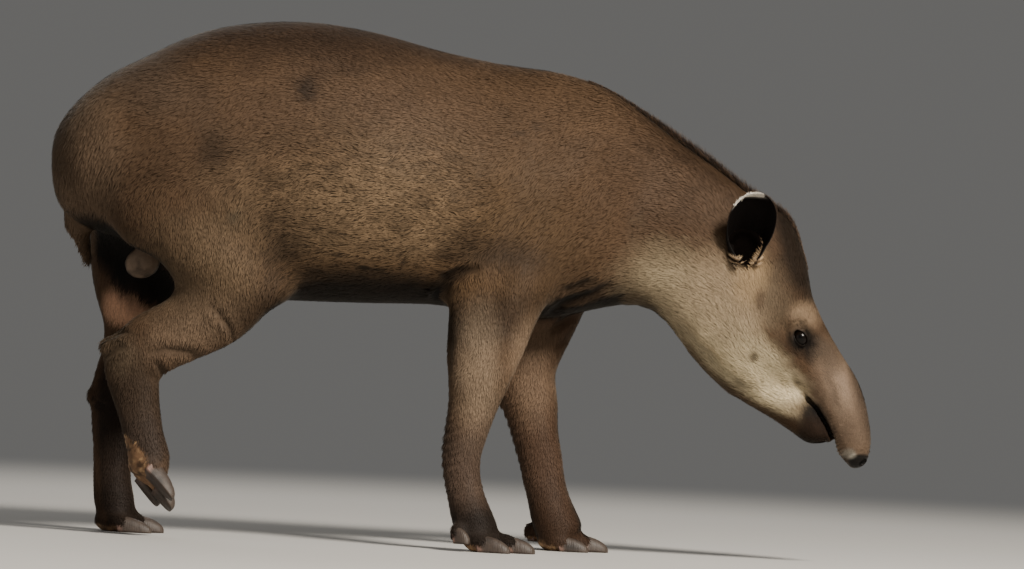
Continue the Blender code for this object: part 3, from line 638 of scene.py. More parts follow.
# Folds and creases of the hide: which face they lie on, their line, half width and depth
creases = {
    "elbow fold": ("near", [(-56, 470), (-45, 503), (-26, 534), (1, 555), (32, 564)], 9, 8),
    "elbow line": ("near", [(-18, 436), (-22, 396), (-18, 352)], 6, 3),
    "stifle fold": ("near", [(-500, 474), (-475, 449), (-456, 426), (-445, 397)], 6, 4),
    "hock fold": ("near", [(-726, 372), (-705, 393), (-679, 406), (-655, 409)], 6, 5),
    "hock fold low": ("near", [(-718, 332), (-705, 355), (-682, 372), (-658, 379)], 6, 4),
    "hock front": ("near", [(-603, 355), (-582, 328), (-555, 310), (-522, 301)], 7, 5),
    "hock hollow": ("near", [(-619, 365), (-580, 376), (-530, 371), (-493, 352)], 9, 4),
    "axilla": ("near", [(169, 453), (188, 481), (219, 503), (263, 519), (306, 543)], 8, 6),
    "breast fold": ("near", [(206, 522), (242, 536), (273, 549)], 7, 4),
    "far axilla": ("far inner", [(176, 443), (209, 464), (244, 484)], 5, 4),
    "far axilla low": ("far inner", [(191, 417), (219, 431), (248, 436)], 5, 2),
    "far hock": ("far inner", [(-735, 267), (-719, 260), (-703, 257)], 6, 3),
    "far elbow fold": ("far", [(30, 470), (40, 503), (58, 534), (86, 555), (116, 562)], 9, 8),
    "far stifle fold": ("far", [(-560, 500), (-530, 470), (-512, 440), (-505, 410)], 6, 4),
    "far hock fold": ("far", [(-745, 290), (-722, 306), (-695, 312)], 6, 4),
    "far breast": ("far", [(240, 470), (262, 500), (300, 530)], 7, 4),
    "jaw line": ("both", [(412, 480), (480, 415), (552, 354), (620, 309)], 10, 3),
    "cheek fold": ("both", [(695, 336), (674, 359), (661, 387)], 7, 2),
    "snout fold": ("both", [(729, 386), (747, 347), (753, 307)], 8, 2),
    "upper lid": ("both", [(655, 467), (671, 479), (691, 476), (706, 461)], 3, 1.6),
    "lower lid": ("both", [(663, 423), (678, 408), (700, 405)], 3, 1.2),
}

# Rows of wrinkles: middle, radii, which way they face, distance between rows and depth
wrinkles = {
    "near wrist": ((-20, -116, 205), (60, 60, 110), (-1, -0.3, 0), 18, 2.6),
    "far wrist": ((115, 112, 260), (60, 60, 110), (-1, 0, 0), 20, 2.2),
    "near cannon front": ((40, -116, 120), (40, 60, 60), (1, 0, 0), 14, 1.0),
    "near shank": ((-690, -98, 350), (50, 50, 60), (-1, 0, 0), 17, 1.6),
    "far shank": ((-715, 95, 250), (40, 50, 70), (-1, 0, 0), 17, 1.6),
    "near hind pastern": ((-640, -94, 170), (50, 60, 60), (-1, 0, 0), 13, 1.6),
    "throat": ((330, 0, 500), (110, 90, 60), (0, 0, -1), 24, 1.6),
}


def modelFolds(points, normals):
    shade = np.zeros(len(points))
    moved = points.copy()
    outward = np.sign(points[:, 1]) * normals[:, 1]
    near, far = points[:, 1] < 0, points[:, 1] > 0
    faces = {"near": near * outward, "far": far * outward, "far inner": far * -outward, "both": outward}
    for face, line, width, depth in creases.values():
        away, share = alongLine(points[:, [0, 2]], line)
        amount = smoothStep(0.1, 0.45, faces[face]) * np.sqrt(np.sin(math.pi * np.clip(share, 0, 1)))
        groove = np.exp(-((away / width) ** 2))
        bank = np.exp(-(((away - 2.2 * width) / (1.3 * width)) ** 2))
        moved -= normals * (depth * (groove - 0.3 * bank) * amount)[:, None]
        shade += groove * amount * min(depth / 7, 1)
    wander = grain(points, 38, 5)
    for middle, radii, facing, apart, depth in wrinkles.values():
        facing = np.array(facing, float) / np.linalg.norm(facing)
        inside = np.exp(-(((points - middle) / radii) ** 2).sum(1) * 1.3)
        inside = inside * smoothStep(-0.1, 0.6, normals @ facing)
        row = (points[:, 2] - 0.35 * points[:, 0] + wander * apart * 0.4) / apart
        groove = np.exp(-(((row - np.floor(row) - 0.5) * 3.6) ** 2)) - 0.3
        moved -= normals * (depth * groove * inside)[:, None]
        shade += np.clip(groove, 0, 1) * inside * 0.5 * min(depth / 2, 1)
    return moved, np.clip(shade, 0, 1)


# The right eye: its ball, half the length and height of its slit, the slant in degrees and how thick a lid is
eye = {"centre": (677, -62, 452), "radius": 16.5, "opening": (15.5, 10.0), "slant": 52, "lid": 2.6}


# How far points are along and across the slit of the eye, in its own slanted frame
def eyeFrame(points):
    c, s = math.cos(math.radians(eye["slant"])), math.sin(math.radians(eye["slant"]))
    dx, dz = points[:, 0] - eye["centre"][0], points[:, 2] - eye["centre"][2]
    along, across = dx * c - dz * s, dx * s + dz * c
    opening = np.hypot(along / eye["opening"][0], across / eye["opening"][1])
    return along, across, along**2 + across**2, opening


# An ear: its root and tip on the right side, the way its cup faces, half its width and how thick its leaf is
ear = {
    "root": (558, -80, 598),
    "tip": (576, -132, 733),
    "facing": (0.3, -1.0, 0.0),
    "width": 49,
    "thickness": 6.88,
    "columns": 40,
    "rows": 30,
    "hollow": ((556, 620), (33, 44), -8),  # the sunk skin that the cup stands on
    "hollowDepth": 15,
    "margin": (2, 7),  # how far past its leaf the skin is painted dark as shade, before and behind the middle of its bend
    "darkFrom": (-0.14, -0.06),  # where along the ear that painted shade comes in
    "darkTo": 0.58,
    "back": "#3a2c23",
    # the inner face and the skin in the cup: partly dark skin, partly painted shade
    "inside": "#0b0807",
    "rim": "#e2dbcf",
    "notch": "#b39a7c",
    "foot": "#846d55",
}


# Where an ear stands: its root, three directions and its length
def earFrame(side):
    root, tip, facing = (Vector((x, y * -side, z)) for x, y, z in (ear["root"], ear["tip"], ear["facing"]))
    up = (tip - root).normalized()
    out = (facing - up * facing.dot(up)).normalized()
    across = up.cross(out) * side
    return *(np.array(way) for way in (root, up, out, across)), (tip - root).length


# The angle that an ear's leaf bends through at a height from 0 to 1, and the radius of that bend. The leaf is
# nearly a tube at its root, widest at 0.6, and open and round at its tip
def earSection(v):
    low = np.sin(np.pi / 2 * np.minimum(v / 0.6, 1))
    high = np.sqrt(np.maximum(1 - ((v - 0.6) / 0.405) ** 2, 0))
    half = ear["width"] * np.where(v < 0.6, 0.4 + 0.6 * low, high)
    bend = np.radians(280 - 205 * np.sin(np.pi / 2 * v))
    return bend, np.where(bend < np.pi, half / np.sin(np.minimum(bend, np.pi) / 2), half)


# How much of each point is skin that an ear's leaf curls round, painted near black there as shade
def shadedEarCup(points):
    share = np.zeros(len(points))
    for side in sideNames:
        root, up, out, across, length = earFrame(side)
        off = points - root
        v = off @ up / length
        bend, radius = earSection(np.clip(v, 0, 1))
        deep = radius * np.maximum(np.cos(bend / 2), -0.2) - off @ out
        edge = radius + np.where(deep > 0, ear["margin"][1], ear["margin"][0])
        reach = smoothStep(edge, edge - 3, np.hypot(off @ across, deep))
        share = np.maximum(share, reach * smoothStep(*ear["darkFrom"], v) * (v < ear["darkTo"]))
    return share


# The face of the right side, and the line of the mouth in x and z
mouthLine = [(690, 338), (716, 312), (738, 279), (753, 248), (764, 208)]
faceShape = {
    "ballInset": 5,  # how far behind the eyeball's face the skin sinks inside the lids
    "lidRim": 0.9,  # how far the lids' edge stands out
    "mouthDepth": 11,
    "mouthWidth": 2.6,
    "lipHeight": 1.6,
    "nostril": ((818, -19, 206), (11, 9, 9)),
    "nostrilDepth": 9,
    "ringHeight": 0.45,  # the fine rings round the snout
    "ringApart": 8,
}


# Models the eyelids, mouth, nostrils, ear hollows and snout rings into the skin, and says where it is shaded
def modelFace(points, normals):
    moved = points.copy()
    out, side = np.abs(points[:, 1]), np.sign(points[:, 1])
    # The lids lie on the ball of the eye, and inside their opening the skin sinks behind it
    _, _, spread, opening = eyeFrame(points)
    ballOut = np.sqrt(np.maximum(eye["radius"] ** 2 - spread, 0)) - eye["centre"][1]
    lidOut = np.sqrt(np.maximum((eye["radius"] + eye["lid"]) ** 2 - spread, 0)) - eye["centre"][1]
    over = 0.5 * (out + lidOut + np.sqrt((lidOut - out) ** 2 + 3.0))  # eased where lid and face meet
    rim = over + faceShape["lidRim"] * np.exp(-(((opening - 1.18) / 0.13) ** 2))
    sunk = smoothStep(1.05, 0.9, opening)
    target = rim * (1 - sunk) + (ballOut - faceShape["ballInset"]) * sunk
    edge = (eye["radius"] + 6) ** 2
    blend = smoothStep(edge, (eye["radius"] + 1) ** 2, spread) * ((spread < edge) & (out > 35))
    moved[:, 1] = side * (out + (target - out) * blend)
    # The slit of the mouth, with a lip on either side
    far, share = alongLine(points[:, [0, 2]], mouthLine)
    amount = smoothStep(-0.02, 0.12, share) * (points[:, 2] > 195) * (points[:, 0] > 670)
    groove = faceShape["mouthDepth"] * np.exp(-((far / faceShape["mouthWidth"]) ** 2))
    groove = groove - faceShape["lipHeight"] * np.exp(-(((far - 7) / 4) ** 2))
    moved -= normals * (groove * amount)[:, None]
    # The nostrils
    (x, y, z), radii = faceShape["nostril"]
    off = (points - np.stack([np.full(len(points), x), side * -y, np.full(len(points), z)], 1)) / radii
    hole = np.clip(1 - (off**2).sum(1), 0, 1)
    moved -= normals * (faceShape["nostrilDepth"] * np.sqrt(hole))[:, None]
    # The skin under the ear's cup sinks to its floor
    hollow = smoothStep(1.0, 0.55, np.where(out > 40, inEllipse(points, *ear["hollow"]), 9))
    moved -= normals * (ear["hollowDepth"] * hollow)[:, None]
    # The rings round the snout
    rings = (points[:, 2] - 0.25 * points[:, 0] + 3 * grain(points, 30, 8)) / faceShape["ringApart"]
    share = smoothStep(700, 760, points[:, 0]) * smoothStep(390, 330, points[:, 2])
    share = share * smoothStep(205, 225, points[:, 2])
    moved -= normals * (faceShape["ringHeight"] * np.sin(rings * 2 * math.pi) * share)[:, None]
    return moved, np.clip(smoothStep(5, 1.5, far) * amount + hole * 2, 0, 1)


# Colours of the hide and its hair by place on the animal's side: middle and radii in x and z, turn in
# degrees, colour, strength, and how soft the edge is
tones = {
    "back": ((-351, 1058), (580, 104), 0, "#2f2219", 0.75, 0.55),
    "rump": ((-782, 762), (96, 210), 0, "#705d4b", 0.65, 0.6),
    "flank": ((-131, 641), (300, 150), 0, "#806b52", 0.6, 0.7),
    "shoulder": ((135, 723), (170, 190), 0, "#44311d", 0.6, 0.6),
    "low shoulder": ((72, 545), (120, 84), 0, "#2a1e13", 0.72, 0.6),
    # darker belly: partly its own darker colour, partly painted shade under the body
    "belly": ((-175, 446), (280, 46), 0, "#20160f", 0.9, 0.45),
    "rump top": ((-640, 920), (110, 60), -25, "#52453a", 0.55, 0.8),
    "low flank": ((-150, 540), (240, 34), 0, "#745a40", 0.6, 0.8),
    # painted shade under the chest, between the forelegs
    "brisket shade": ((262, 512), (80, 34), 0, "#33271b", 0.6, 0.7),
    "jaw front": ((666, 350), (34, 26), -40, "#d9c7a4", 0.85, 0.6),
    "lifted pastern": ((-618, 190), (46, 44), 0, "#120d09", 0.9, 0.6),
    # darker lower hind leg: partly its own colour, partly painted shade on its rear
    "low hind leg": ((-645, 250), (66, 140), 0, "#2b221a", 0.75, 0.45),
    "thigh": ((-527, 533), (120, 100), 0, "#675743", 0.5, 0.6),
    # lighter shank: painted highlight of the light on its upper edge
    "shank": ((-541, 412), (88, 50), 28, "#846f5b", 0.55, 0.8),
    "stifle": ((-393, 459), (52, 36), 0, "#382a1c", 0.5, 0.6),
    "hock": ((-679, 366), (40, 44), 0, "#625443", 0.5, 0.6),
    # lighter forearm: partly its own colour, partly painted highlight of the light on its front
    "forearm": ((38, 358), (44, 120), 0, "#9a8670", 0.55, 0.6),
    "far forearm": ((150, 352), (44, 100), 0, "#b69b80", 0.55, 0.6),
    "neck": ((375, 724), (120, 140), 0, "#463424", 0.65, 0.6),
    "throat": ((442, 523), (104, 62), -30, "#bfae8e", 0.7, 0.9),
    "jaw": ((556, 386), (140, 70), -38, "#dccba7", 0.9, 0.5),
    "cheek": ((531, 511), (92, 96), 0, "#a38f75", 0.7, 0.6),
    "crest": ((461, 818), (190, 44), -38, "#312214", 0.7, 0.5),
    "forehead": ((668, 620), (38, 126), 14, "#1d150e", 0.92, 0.5),
    "temple": ((627, 525), (36, 72), 10, "#443829", 0.6, 0.6),
    "under the ear": ((577, 567), (28, 52), -10, "#a08664", 0.6, 0.6),
    "brow": ((688, 490), (26, 24), 0, "#a48b70", 0.65, 0.8),
    "eye rim": ((681, 446), (29, 30), 20, "#090604", 0.95, 0.45),
    "before the eye": ((719, 429), (30, 18), -25, "#0d0805", 0.95, 0.5),
    "tear line": ((700, 412), (18, 12), -50, "#0e0a07", 0.7, 0.6),
    "snout": ((776, 322), (52, 104), 16, "#8b7663", 0.8, 0.6),
    "snout front": ((806, 343), (17, 100), 16, "#33271f", 0.65, 0.6),
    "upper lip": ((736, 314), (14, 44), 25, "#866f5b", 0.5, 0.6),
    # partly paler skin, partly painted highlight on the snout's side
    "snout side": ((764, 345), (20, 66), 20, "#a9937f", 0.45, 0.9),
    # painted shade in the fold between flank and thigh
    "flank fold": ((-358, 550), (44, 96), 0, "#261b12", 0.62, 0.8),
    # painted shadow under the overhanging upper lip
    "mouth wedge shadow": ((728, 280), (9, 34), 27, "#080504", 0.95, 0.35),
    # painted shade on the far fore foot
    "far pastern shade": ((203, 88), (54, 60), 0, "#1c150f", 0.75, 0.6),
    "snout top": ((744, 412), (20, 30), 20, "#4e4033", 0.6, 0.7),
    "snout low": ((790, 280), (20, 36), 10, "#5a493b", 0.5, 0.8),
    "chin": ((650, 276), (44, 18), -35, "#2e1f13", 0.75, 0.6),
    # partly dark lip skin, partly painted shade in the mouth's slit
    "mouth": ((722, 281), (24, 44), 35, "#120f0d", 0.95, 0.35),
    "lower lip": ((712, 259), (46, 30), -16, "#2a1d14", 0.95, 0.5),
    "nose pad": ((811, 209), (30, 19), 0, "#070605", 0.98, 0.3),
    "pale bristles": ((786, 224), (12, 8), 0, "#ada79a", 0.6, 0.6),
    "cheek spot": ((592, 404), (8, 10), 0, "#35271a", 0.7, 0.5),
    "cheek line": ((595, 518), (8, 20), 0, "#504031", 0.7, 0.5),
    "smudge": ((-317, 899), (18, 22), 0, "#19120d", 0.75, 0.5),
    "smudge low": ((-492, 773), (32, 30), 0, "#1d140b", 0.6, 0.6),
    "smudge small": ((-452, 647), (12, 12), 0, "#494337", 0.5, 0.6),
    "scratch": ((142, 848), (4, 18), -35, "#2c2116", 0.7, 0.5),
    "scratch across": ((116, 838), (14, 4), -15, "#1c140c", 0.5, 0.5),
}
# Tones that more than a place decides: colour and strength
coverTones = {
    "base": ("#523f2e", 1),
    "low leg": ("#4f4138", 0.75),
    "foot": ("#17110d", 0.88),
    # painted shade on the underside, where the skin faces down
    "belly": ("#0c0806", 0.95),
    "shade under the head": ("#231a13", 0.9),
    "jaw edge": ("#4a3624", 0.8),
    "inner leg": ("#4a3526", 0.6),
    "far hind leg shadow": ("#120d0a", 0.8),
    # far inner thigh: partly tan skin, partly a painted pool of light
    "thigh": ("#d9a988", 0.88),
    "groinShadow": ("#050302", 0.97),
    "scrotum": ("#7f6c5b", 0.9),
    "scrotum mottle and shade": ("#050302", 1),
    "pad": ("#765a42", 0.92),
}
legHeights = {"low leg": (330, 190), "foot": (120, 60)}  # where a leg's tone begins and where it is full
jawEdge = [(424, 442), (460, 398), (496, 363), (537, 335), (584, 307), (632, 281), (666, 267)]
# painted shadow in the hollow between the thighs and under the tail
groinShadow = (((-694, 578), (60, 52), 20), ((-640, 508), (72, 52), -16))  # middle, radii and turn of its two parts
# the far inner thigh: partly tan skin, partly painted light
tanAndLitThigh = ((-672, 458), (46, 38))
padSpots = (("#2b1d13", 9, 9), ("#a98a66", 6, 12))  # colour, size in millimetres and seed


def covered(colours, name, share):
    hexColour, strength = coverTones[name]
    return blendTone(colours, hexColour, strength * share)


# How much of each point is the sole of a foot, from the foot's own frame
def soleShare(points, normals):
    share = np.zeros(len(points))
    for foot in feet:
        where = footPlace(foot)
        turn = np.array(where.to_3x3())
        x, y, z = ((points - np.array(where.translation)) @ turn).T
        near = (np.abs(x) < 75) & (np.abs(y) < 70) & (z < 26) & (z > -25)
        share = np.maximum(share, near * smoothStep(0.05, 0.4, -(normals @ turn)[:, 2]))
    return share


def scrotumShare(points):
    (x, z, y), radii, turn = scrotum
    c, s = math.cos(math.radians(turn)), math.sin(math.radians(turn))
    dx, dz = points[:, 0] - x, points[:, 2] - z
    spread = ((dx * c - dz * s) / radii[0]) ** 2 + ((dx * s + dz * c) / radii[1]) ** 2
    return smoothStep(1.25, 1.05, np.sqrt(spread + ((points[:, 1] - y) / radii[2]) ** 2))


# Bare skin: lips, nose, lids, soles and scrotum
def bareShare(points, normals):
    share = np.maximum(soleShare(points, normals), scrotumShare(points))
    share = np.maximum(share, smoothStep(1.15, 0.85, inEllipse(points, *tones["nose pad"][:3])))
    far, along = alongLine(points[:, [0, 2]], mouthLine)
    share = np.maximum(share, smoothStep(8, 4, far) * smoothStep(0.0, 0.15, along) * (points[:, 0] > 670))
    opening = eyeFrame(points)[3]
    return np.maximum(share, smoothStep(1.75, 1.4, opening) * (np.abs(points[:, 1]) > 35))


# The colour of each point, from the marks by place and then from the tones that more than a place decides
def hideColours(points, normals, shade):
    x, y, z = points.T
    outward, up = np.sign(y) * normals[:, 1], normals[:, 2]
    coarse, fine = grain(points, 46, 1), grain(points, 11, 2)
    colours = np.tile(linear(coverTones["base"][0]), (len(points), 1))
    for middle, radii, turn, hexColour, strength, soft in tones.values():
        far = inEllipse(points, middle, radii, turn) * (1 + 0.15 * coarse + 0.1 * fine)
        colours = blendTone(colours, hexColour, strength * smoothStep(1 + soft, 1 - soft, far))
    for name, (high, low) in legHeights.items():
        legs = np.where(x < -400, 0.55, x < 400)  # weaker on the hind legs
        colours = covered(colours, name, legs * smoothStep(high, low, z + 14 * coarse))
    # painted shade where the skin of the trunk faces down
    colours = covered(colours, "belly", ((x < 330) & (z > 440)) * smoothStep(-0.55, -0.88, up))
    # painted shade under the head, where the skin faces down
    head = smoothStep(300, 400, x) * (x < 720)
    colours = covered(colours, "shade under the head", head * smoothStep(-0.6, -0.88, up))
    far, along = alongLine(points[:, [0, 2]], jawEdge)
    ends = smoothStep(0, 0.2, along) * (x > 400)
    colours = covered(colours, "jaw edge", smoothStep(28, 12, far + 2 * fine) * ends)
    inner = smoothStep(-0.2, -0.6, outward) * (z < 560) * (x < 330)
    colours = covered(colours, "inner leg", inner)
    # painted shadow on the inner side of the far hind leg
    low = smoothStep(0.1, -0.5, outward) * smoothStep(430, 330, z) * (x < -400) * (y > 0)
    colours = covered(colours, "far hind leg shadow", low * smoothStep(-0.75, -0.3, normals[:, 0]))
    # partly tan skin, partly painted light on the far inner thigh
    tanAndLit = smoothStep(1.4, 0.7, inEllipse(points, *tanAndLitThigh)) * (y > 0)
    colours = covered(colours, "thigh", tanAndLit * inner)
    # painted shadow between the thighs
    between = np.maximum(smoothStep(92, 70, np.abs(y)), inner) * (z < 700)
    for middle, radii, turn in groinShadow:
        far = inEllipse(points, middle, radii, turn) * (1 + 0.12 * fine)
        colours = covered(colours, "groinShadow", between * smoothStep(1.15, 0.8, far))
    sack = scrotumShare(points)
    colours = covered(colours, "scrotum", sack)
    # mottled darker, and darkened towards its edges as painted shade
    mottleAndShade = 0.5 * smoothStep(-0.2, 0.7, grain(points, 15, 13) + 0.5 * fine)
    mottleAndShade = mottleAndShade + smoothStep(0.8, 0.3, np.abs(normals[:, 1]))
    colours = covered(colours, "scrotum mottle and shade", sack * mottleAndShade.clip(0, 0.85))
    colours = blendTone(colours, ear["inside"], shadedEarCup(points))
    pads = soleShare(points, normals)
    colours = covered(colours, "pad", pads)
    for hexColour, size, seed in padSpots:
        spots = smoothStep(0.15, 0.5, grain(points, size, seed))
        colours = blendTone(colours, hexColour, 0.75 * pads * spots)
    colours = colours * (1 + 0.1 * coarse + 0.08 * fine)[:, None]
    # darker in the folds, creases, wrinkles, mouth and nostrils: painted shade
    return colours * (1 - 0.72 * shade)[:, None]


# How the coat grows: its length at each section of the trunk, from rump to snout tip, and how steeply it
# falls down the side at places along x. The jaw's length is for the coarse hair of throat, cheek and jaw.
growth = {
    "length": [
        18, 18, 19, 20, 19, 17, 16, 16, 17, 19, 20, 20, 19, 19,
        18, 17, 16, 14, 12, 10, 8.5, 7.5, 6.5, 6, 5.5, 5, 4.5,
    ],
    "fallPlaces": [-800, -450, -330, 0, 120, 260, 400],
    "fall": [0.9, 0.6, 0.2, 0.22, 0.75, 0.8, 0.4],
    "legLength": 13,
    "footLength": 8,
    "jawLength": 17,
    "rumpFrom": (-640, -760),  # from where to where along x the coat turns down the rump
    "trunkTo": (560, 380),
    "headFrom": (500, 600),
    "footBelow": (150, 60),
    "swing": ((0.34, 52, 21), (0.2, 17, 22)),  # how far the lie wanders, over what distance, and a seed
    "down": (-0.2, 0, -1),  # the lie of the coat on the legs
    "rumpDown": (-0.25, 0, -1),
    # Single hairs, 0.1 wide, are too fine to show, so each tuft is a clump of them: how wide it is for its
    # length, and how wide it is besides
    "broad": 0.085,
    "narrowest": 0.8,
    "cover": {"trunk": 2.05, "leg": 1.5, "head": 1.75},  # how many tufts deep the coat lies
}
bodyLine = smoothRows([((a[0] + a[2]) / 2, (a[1] + a[3]) / 2) for a in trunk.values()], 4)
legBoxes = {  # middle and radii of the arch over its root, its rear and front, and its side
    "fore right": ((72, 478), (112, 116), (-90, 210), -1),
    "fore left": ((148, 470), (106, 112), (80, 360), 1),
    "hind right": ((-548, 520), (196, 176), (-790, -380), -1),
    "hind left": ((-596, 500), (168, 160), (-810, -480), 1),
}


# How much of each point is a leg
def legShare(points):
    share = np.zeros(len(points))
    x, y, z = points.T
    for (cx, cz), (rx, rz), (rear, front), side in legBoxes.values():
        arch = smoothStep(1.25, 0.8, np.hypot((x - cx) / rx, np.maximum(z - cz, 0) / rz))
        low = smoothStep(60, 0, np.abs(x - (rear + front) / 2) - (front - rear) / 2)
        leg = np.where(z > cz, arch, np.where(z > 330, np.maximum(arch, low), low))
        share = np.maximum(share, leg * (y * side > 8))
    return share


# The lie of the coat at each point, its tufts' length and width, and how many stand on a square millimetre
def coatGrowth(points, normals):
    flat = points[:, [0, 2]]
    # the nearest station on the body's line, a part of the points at a time
    station = np.empty(len(points), int)
    for start in range(0, len(points), 20000):
        part = flat[start : start + 20000]
        station[start : start + 20000] = ((part[:, None] - bodyLine[None]) ** 2).sum(2).argmin(1)
    tangent = unit(np.gradient(bodyLine, axis=0))
    # smoothed over a few stations, so that the lie turns gently down the neck
    kernel = np.ones(7) / 7
    tangent = np.stack([np.convolve(np.pad(tangent[:, i], 3, "edge"), kernel, "valid") for i in (0, 1)], 1)
    way = tangent[station]
    lie = np.stack([-way[:, 0], np.zeros(len(points)), -way[:, 1]], 1)
    length = np.interp(station / 4, range(len(growth["length"])), growth["length"])
    trunkShare = smoothStep(*growth["trunkTo"], points[:, 0])
    fall = np.interp(points[:, 0], growth["fallPlaces"], growth["fall"])
    lie[:, 2] -= fall * (0.4 + 0.6 * np.abs(normals[:, 1])) * trunkShare
    rump = smoothStep(*growth["rumpFrom"], points[:, 0])[:, None]
    lie = lie * (1 - rump) + np.array(growth["rumpDown"]) * rump
    legs = legShare(points)
    lie = lie * (1 - legs)[:, None] + np.array(growth["down"]) * legs[:, None]
    low = smoothStep(*growth["footBelow"], points[:, 2]) * legs
    length = length * (1 - legs) + (growth["legLength"] * (1 - low) + growth["footLength"] * low) * legs
    pale = smoothStep(1.4, 0.7, inEllipse(points, tones["jaw"][0], (150, 80), -38))
    pale = np.maximum(pale, smoothStep(1.3, 0.7, inEllipse(points, tones["throat"][0], (140, 70), -30)))
    length = length * (1 - pale * 0.8) + growth["jawLength"] * pale * 0.8
    swing = sum(angle * grain(points, size, seed) for angle, size, seed in growth["swing"])
    lie = turned(flattened(lie, normals), normals, swing)
    head = smoothStep(*growth["headFrom"], points[:, 0])
    cover = growth["cover"]["trunk"] * (1 - legs) + growth["cover"]["leg"] * legs
    cover = cover * (1 - head) + growth["cover"]["head"] * head
    width = length * growth["broad"] + growth["narrowest"]
    return lie, length, width, cover / (length * width * 0.5)


# Streaks from -1 to 1 that run the way the coat lies, as the hair parts into small wavy locks
def streaks(points, lie, size, seed):
    warped = points + size * 1.6 * grain(points, size * 3, seed + 1)[:, None] * (1, 0, -1)
    total, weights = np.zeros(len(points)), np.zeros(len(points))
    for turn in range(0, 180, 30):
        axis = np.array([math.cos(math.radians(turn)), 0, math.sin(math.radians(turn))])
        drawn = warped - axis * (warped @ axis)[:, None] * 0.78
        weight = np.abs(lie @ axis) ** 12 + 1e-6
        total += weight * grain(drawn, size, seed)
        weights += weight
    return total / weights


hairSpot = 0.0015  # how far a hair spreads on the bake's map, which is 1 wide
lowest = 0.4  # no hair reaches lower than this above the floor
rearmost = cadBox[0][0] / mm + 0.2


# Makes one piece of hairs, from the points, shades and map places of each and the triangles that all share
def hairPiece(name, points, shared, shades, spots, colours, patch, material, smooth):
    count, each = points.shape[:2]
    points = points.reshape(-1, 3)
    points[:, 2] = np.maximum(points[:, 2], lowest)
    points[:, 0] = np.maximum(points[:, 0], rearmost)
    triangles = (np.array(shared)[None] + (np.arange(count) * each)[:, None, None]).reshape(-1, 3)
    mesh = meshFrom(name, points, triangles, smooth)
    addColours(mesh, (colours[:, None, :] * shades[:, :, None]).reshape(-1, 3))
    layer = mesh.uv_layers.new(name="OFBake")
    places = (patch[:, None, :] + spots[None]).reshape(-1, 2)[triangles.ravel()]
    layer.uv.foreach_set("vector", places.astype(np.float32).ravel())
    print(f"{name}: {count} tufts, {len(triangles)} triangles")
    place(mesh, material)


# Tufts as closed slivers: a root under the skin, both sides, and a tip, with the ridge between root and tip
def slivers(name, root, normal, lie, length, width, rise, colours, rootShade, patch, material):
    half = unit(np.cross(normal, lie), 1e-9) * (width * 0.5)[:, None]
    base = root - normal * 0.4
    tip = root + lie * length[:, None] + normal * (length * rise + 0.6)[:, None]
    middle = base + (tip - base) * 0.45 + normal * (0.25 - width * 0.1)[:, None]
    points = np.stack([base, middle + half, middle - half, tip], 1)
    # painted shade at the root, one side a little darker than the other, and the tip lighter as painted
    # highlight
    shades = np.tile([0, 0.94, 0.86, 1.08], (len(root), 1))
    shades[:, 0] = rootShade
    spots = np.array([(0, -1), (1, 0), (-1, 0), (0, 1)]) * hairSpot
    shared = [(0, 3, 1), (0, 2, 3), (0, 1, 2), (1, 3, 2)]
    hairPiece(name, points, shared, shades, spots, colours, patch, material, False)


# Hairs as closed spindles: a point under the skin, a few three-sided rings, and a tip
def strands(name, root, normal, lie, length, width, rise, bend, colours, patch, material, stations, sink):
    side = unit(np.cross(normal, lie), 1e-9)
    lay = np.sqrt(np.maximum(1 - rise**2, 0.05))
    # painted shade at the root, lighter towards the tip, with a painted highlight on the top of each ring
    rows, shades = [root - normal * sink], [0.5]
    for t in stations:
        middle = root + lie * (length * lay * t**1.15)[:, None]
        middle = middle + normal * (length * rise * t * (1.15 - 0.15 * t) + 0.1 * width)[:, None]
        middle = middle + side * (bend * length * t * t)[:, None]
        half = side * (width * 0.5 * (1 - 0.75 * t**2.2))[:, None]
        rows += [middle + half, middle + normal * (width * 0.3 * (1 - 0.6 * t))[:, None], middle - half]
        shades += [0.75 + 0.35 * t] * 3
        shades[-2] += 0.12
    tip = root + lie * (length * lay)[:, None] + normal * (length * rise)[:, None]
    rows.append(tip + side * (bend * length)[:, None])
    shades.append(1.12)
    end = len(rows) - 1
    shared = [(0, 1, 2), (0, 2, 3), (0, 3, 1)]
    for a in range(1, end - 3, 3):
        for i, j in ((0, 1), (1, 2), (2, 0)):
            shared += [(a + i, a + 3 + i, a + 3 + j), (a + i, a + 3 + j, a + j)]
    shared += [(end - 3, end, end - 2), (end - 2, end, end - 1), (end - 1, end, end - 3)]
    across = np.array([0, *[-1, 0, 1] * len(stations), 0])
    spots = np.stack([across * hairSpot, np.linspace(-1, 1, len(rows)) * hairSpot], 1)
    points, shared = np.stack(rows, 1), np.array(shared)[:, ::-1]
    hairPiece(name, points, shared, np.array([shades]), spots, colours, patch, material, True)


# How the skin is made: the grain it is fused at, how far it is evened, and how deep it lies under the coat
skin = {
    "roughGrain": 6.5,
    "fineGrain": 5.2,
    "firstRounds": 6,
    "trunkRounds": 124,
    "lastRounds": 8,
    "calmTriangles": 38000,  # on the trunk, where the skin is smooth
    "coatDepth": 4.9,
    "faceDepth": 1.5,
    "lowest": 0.5,
}


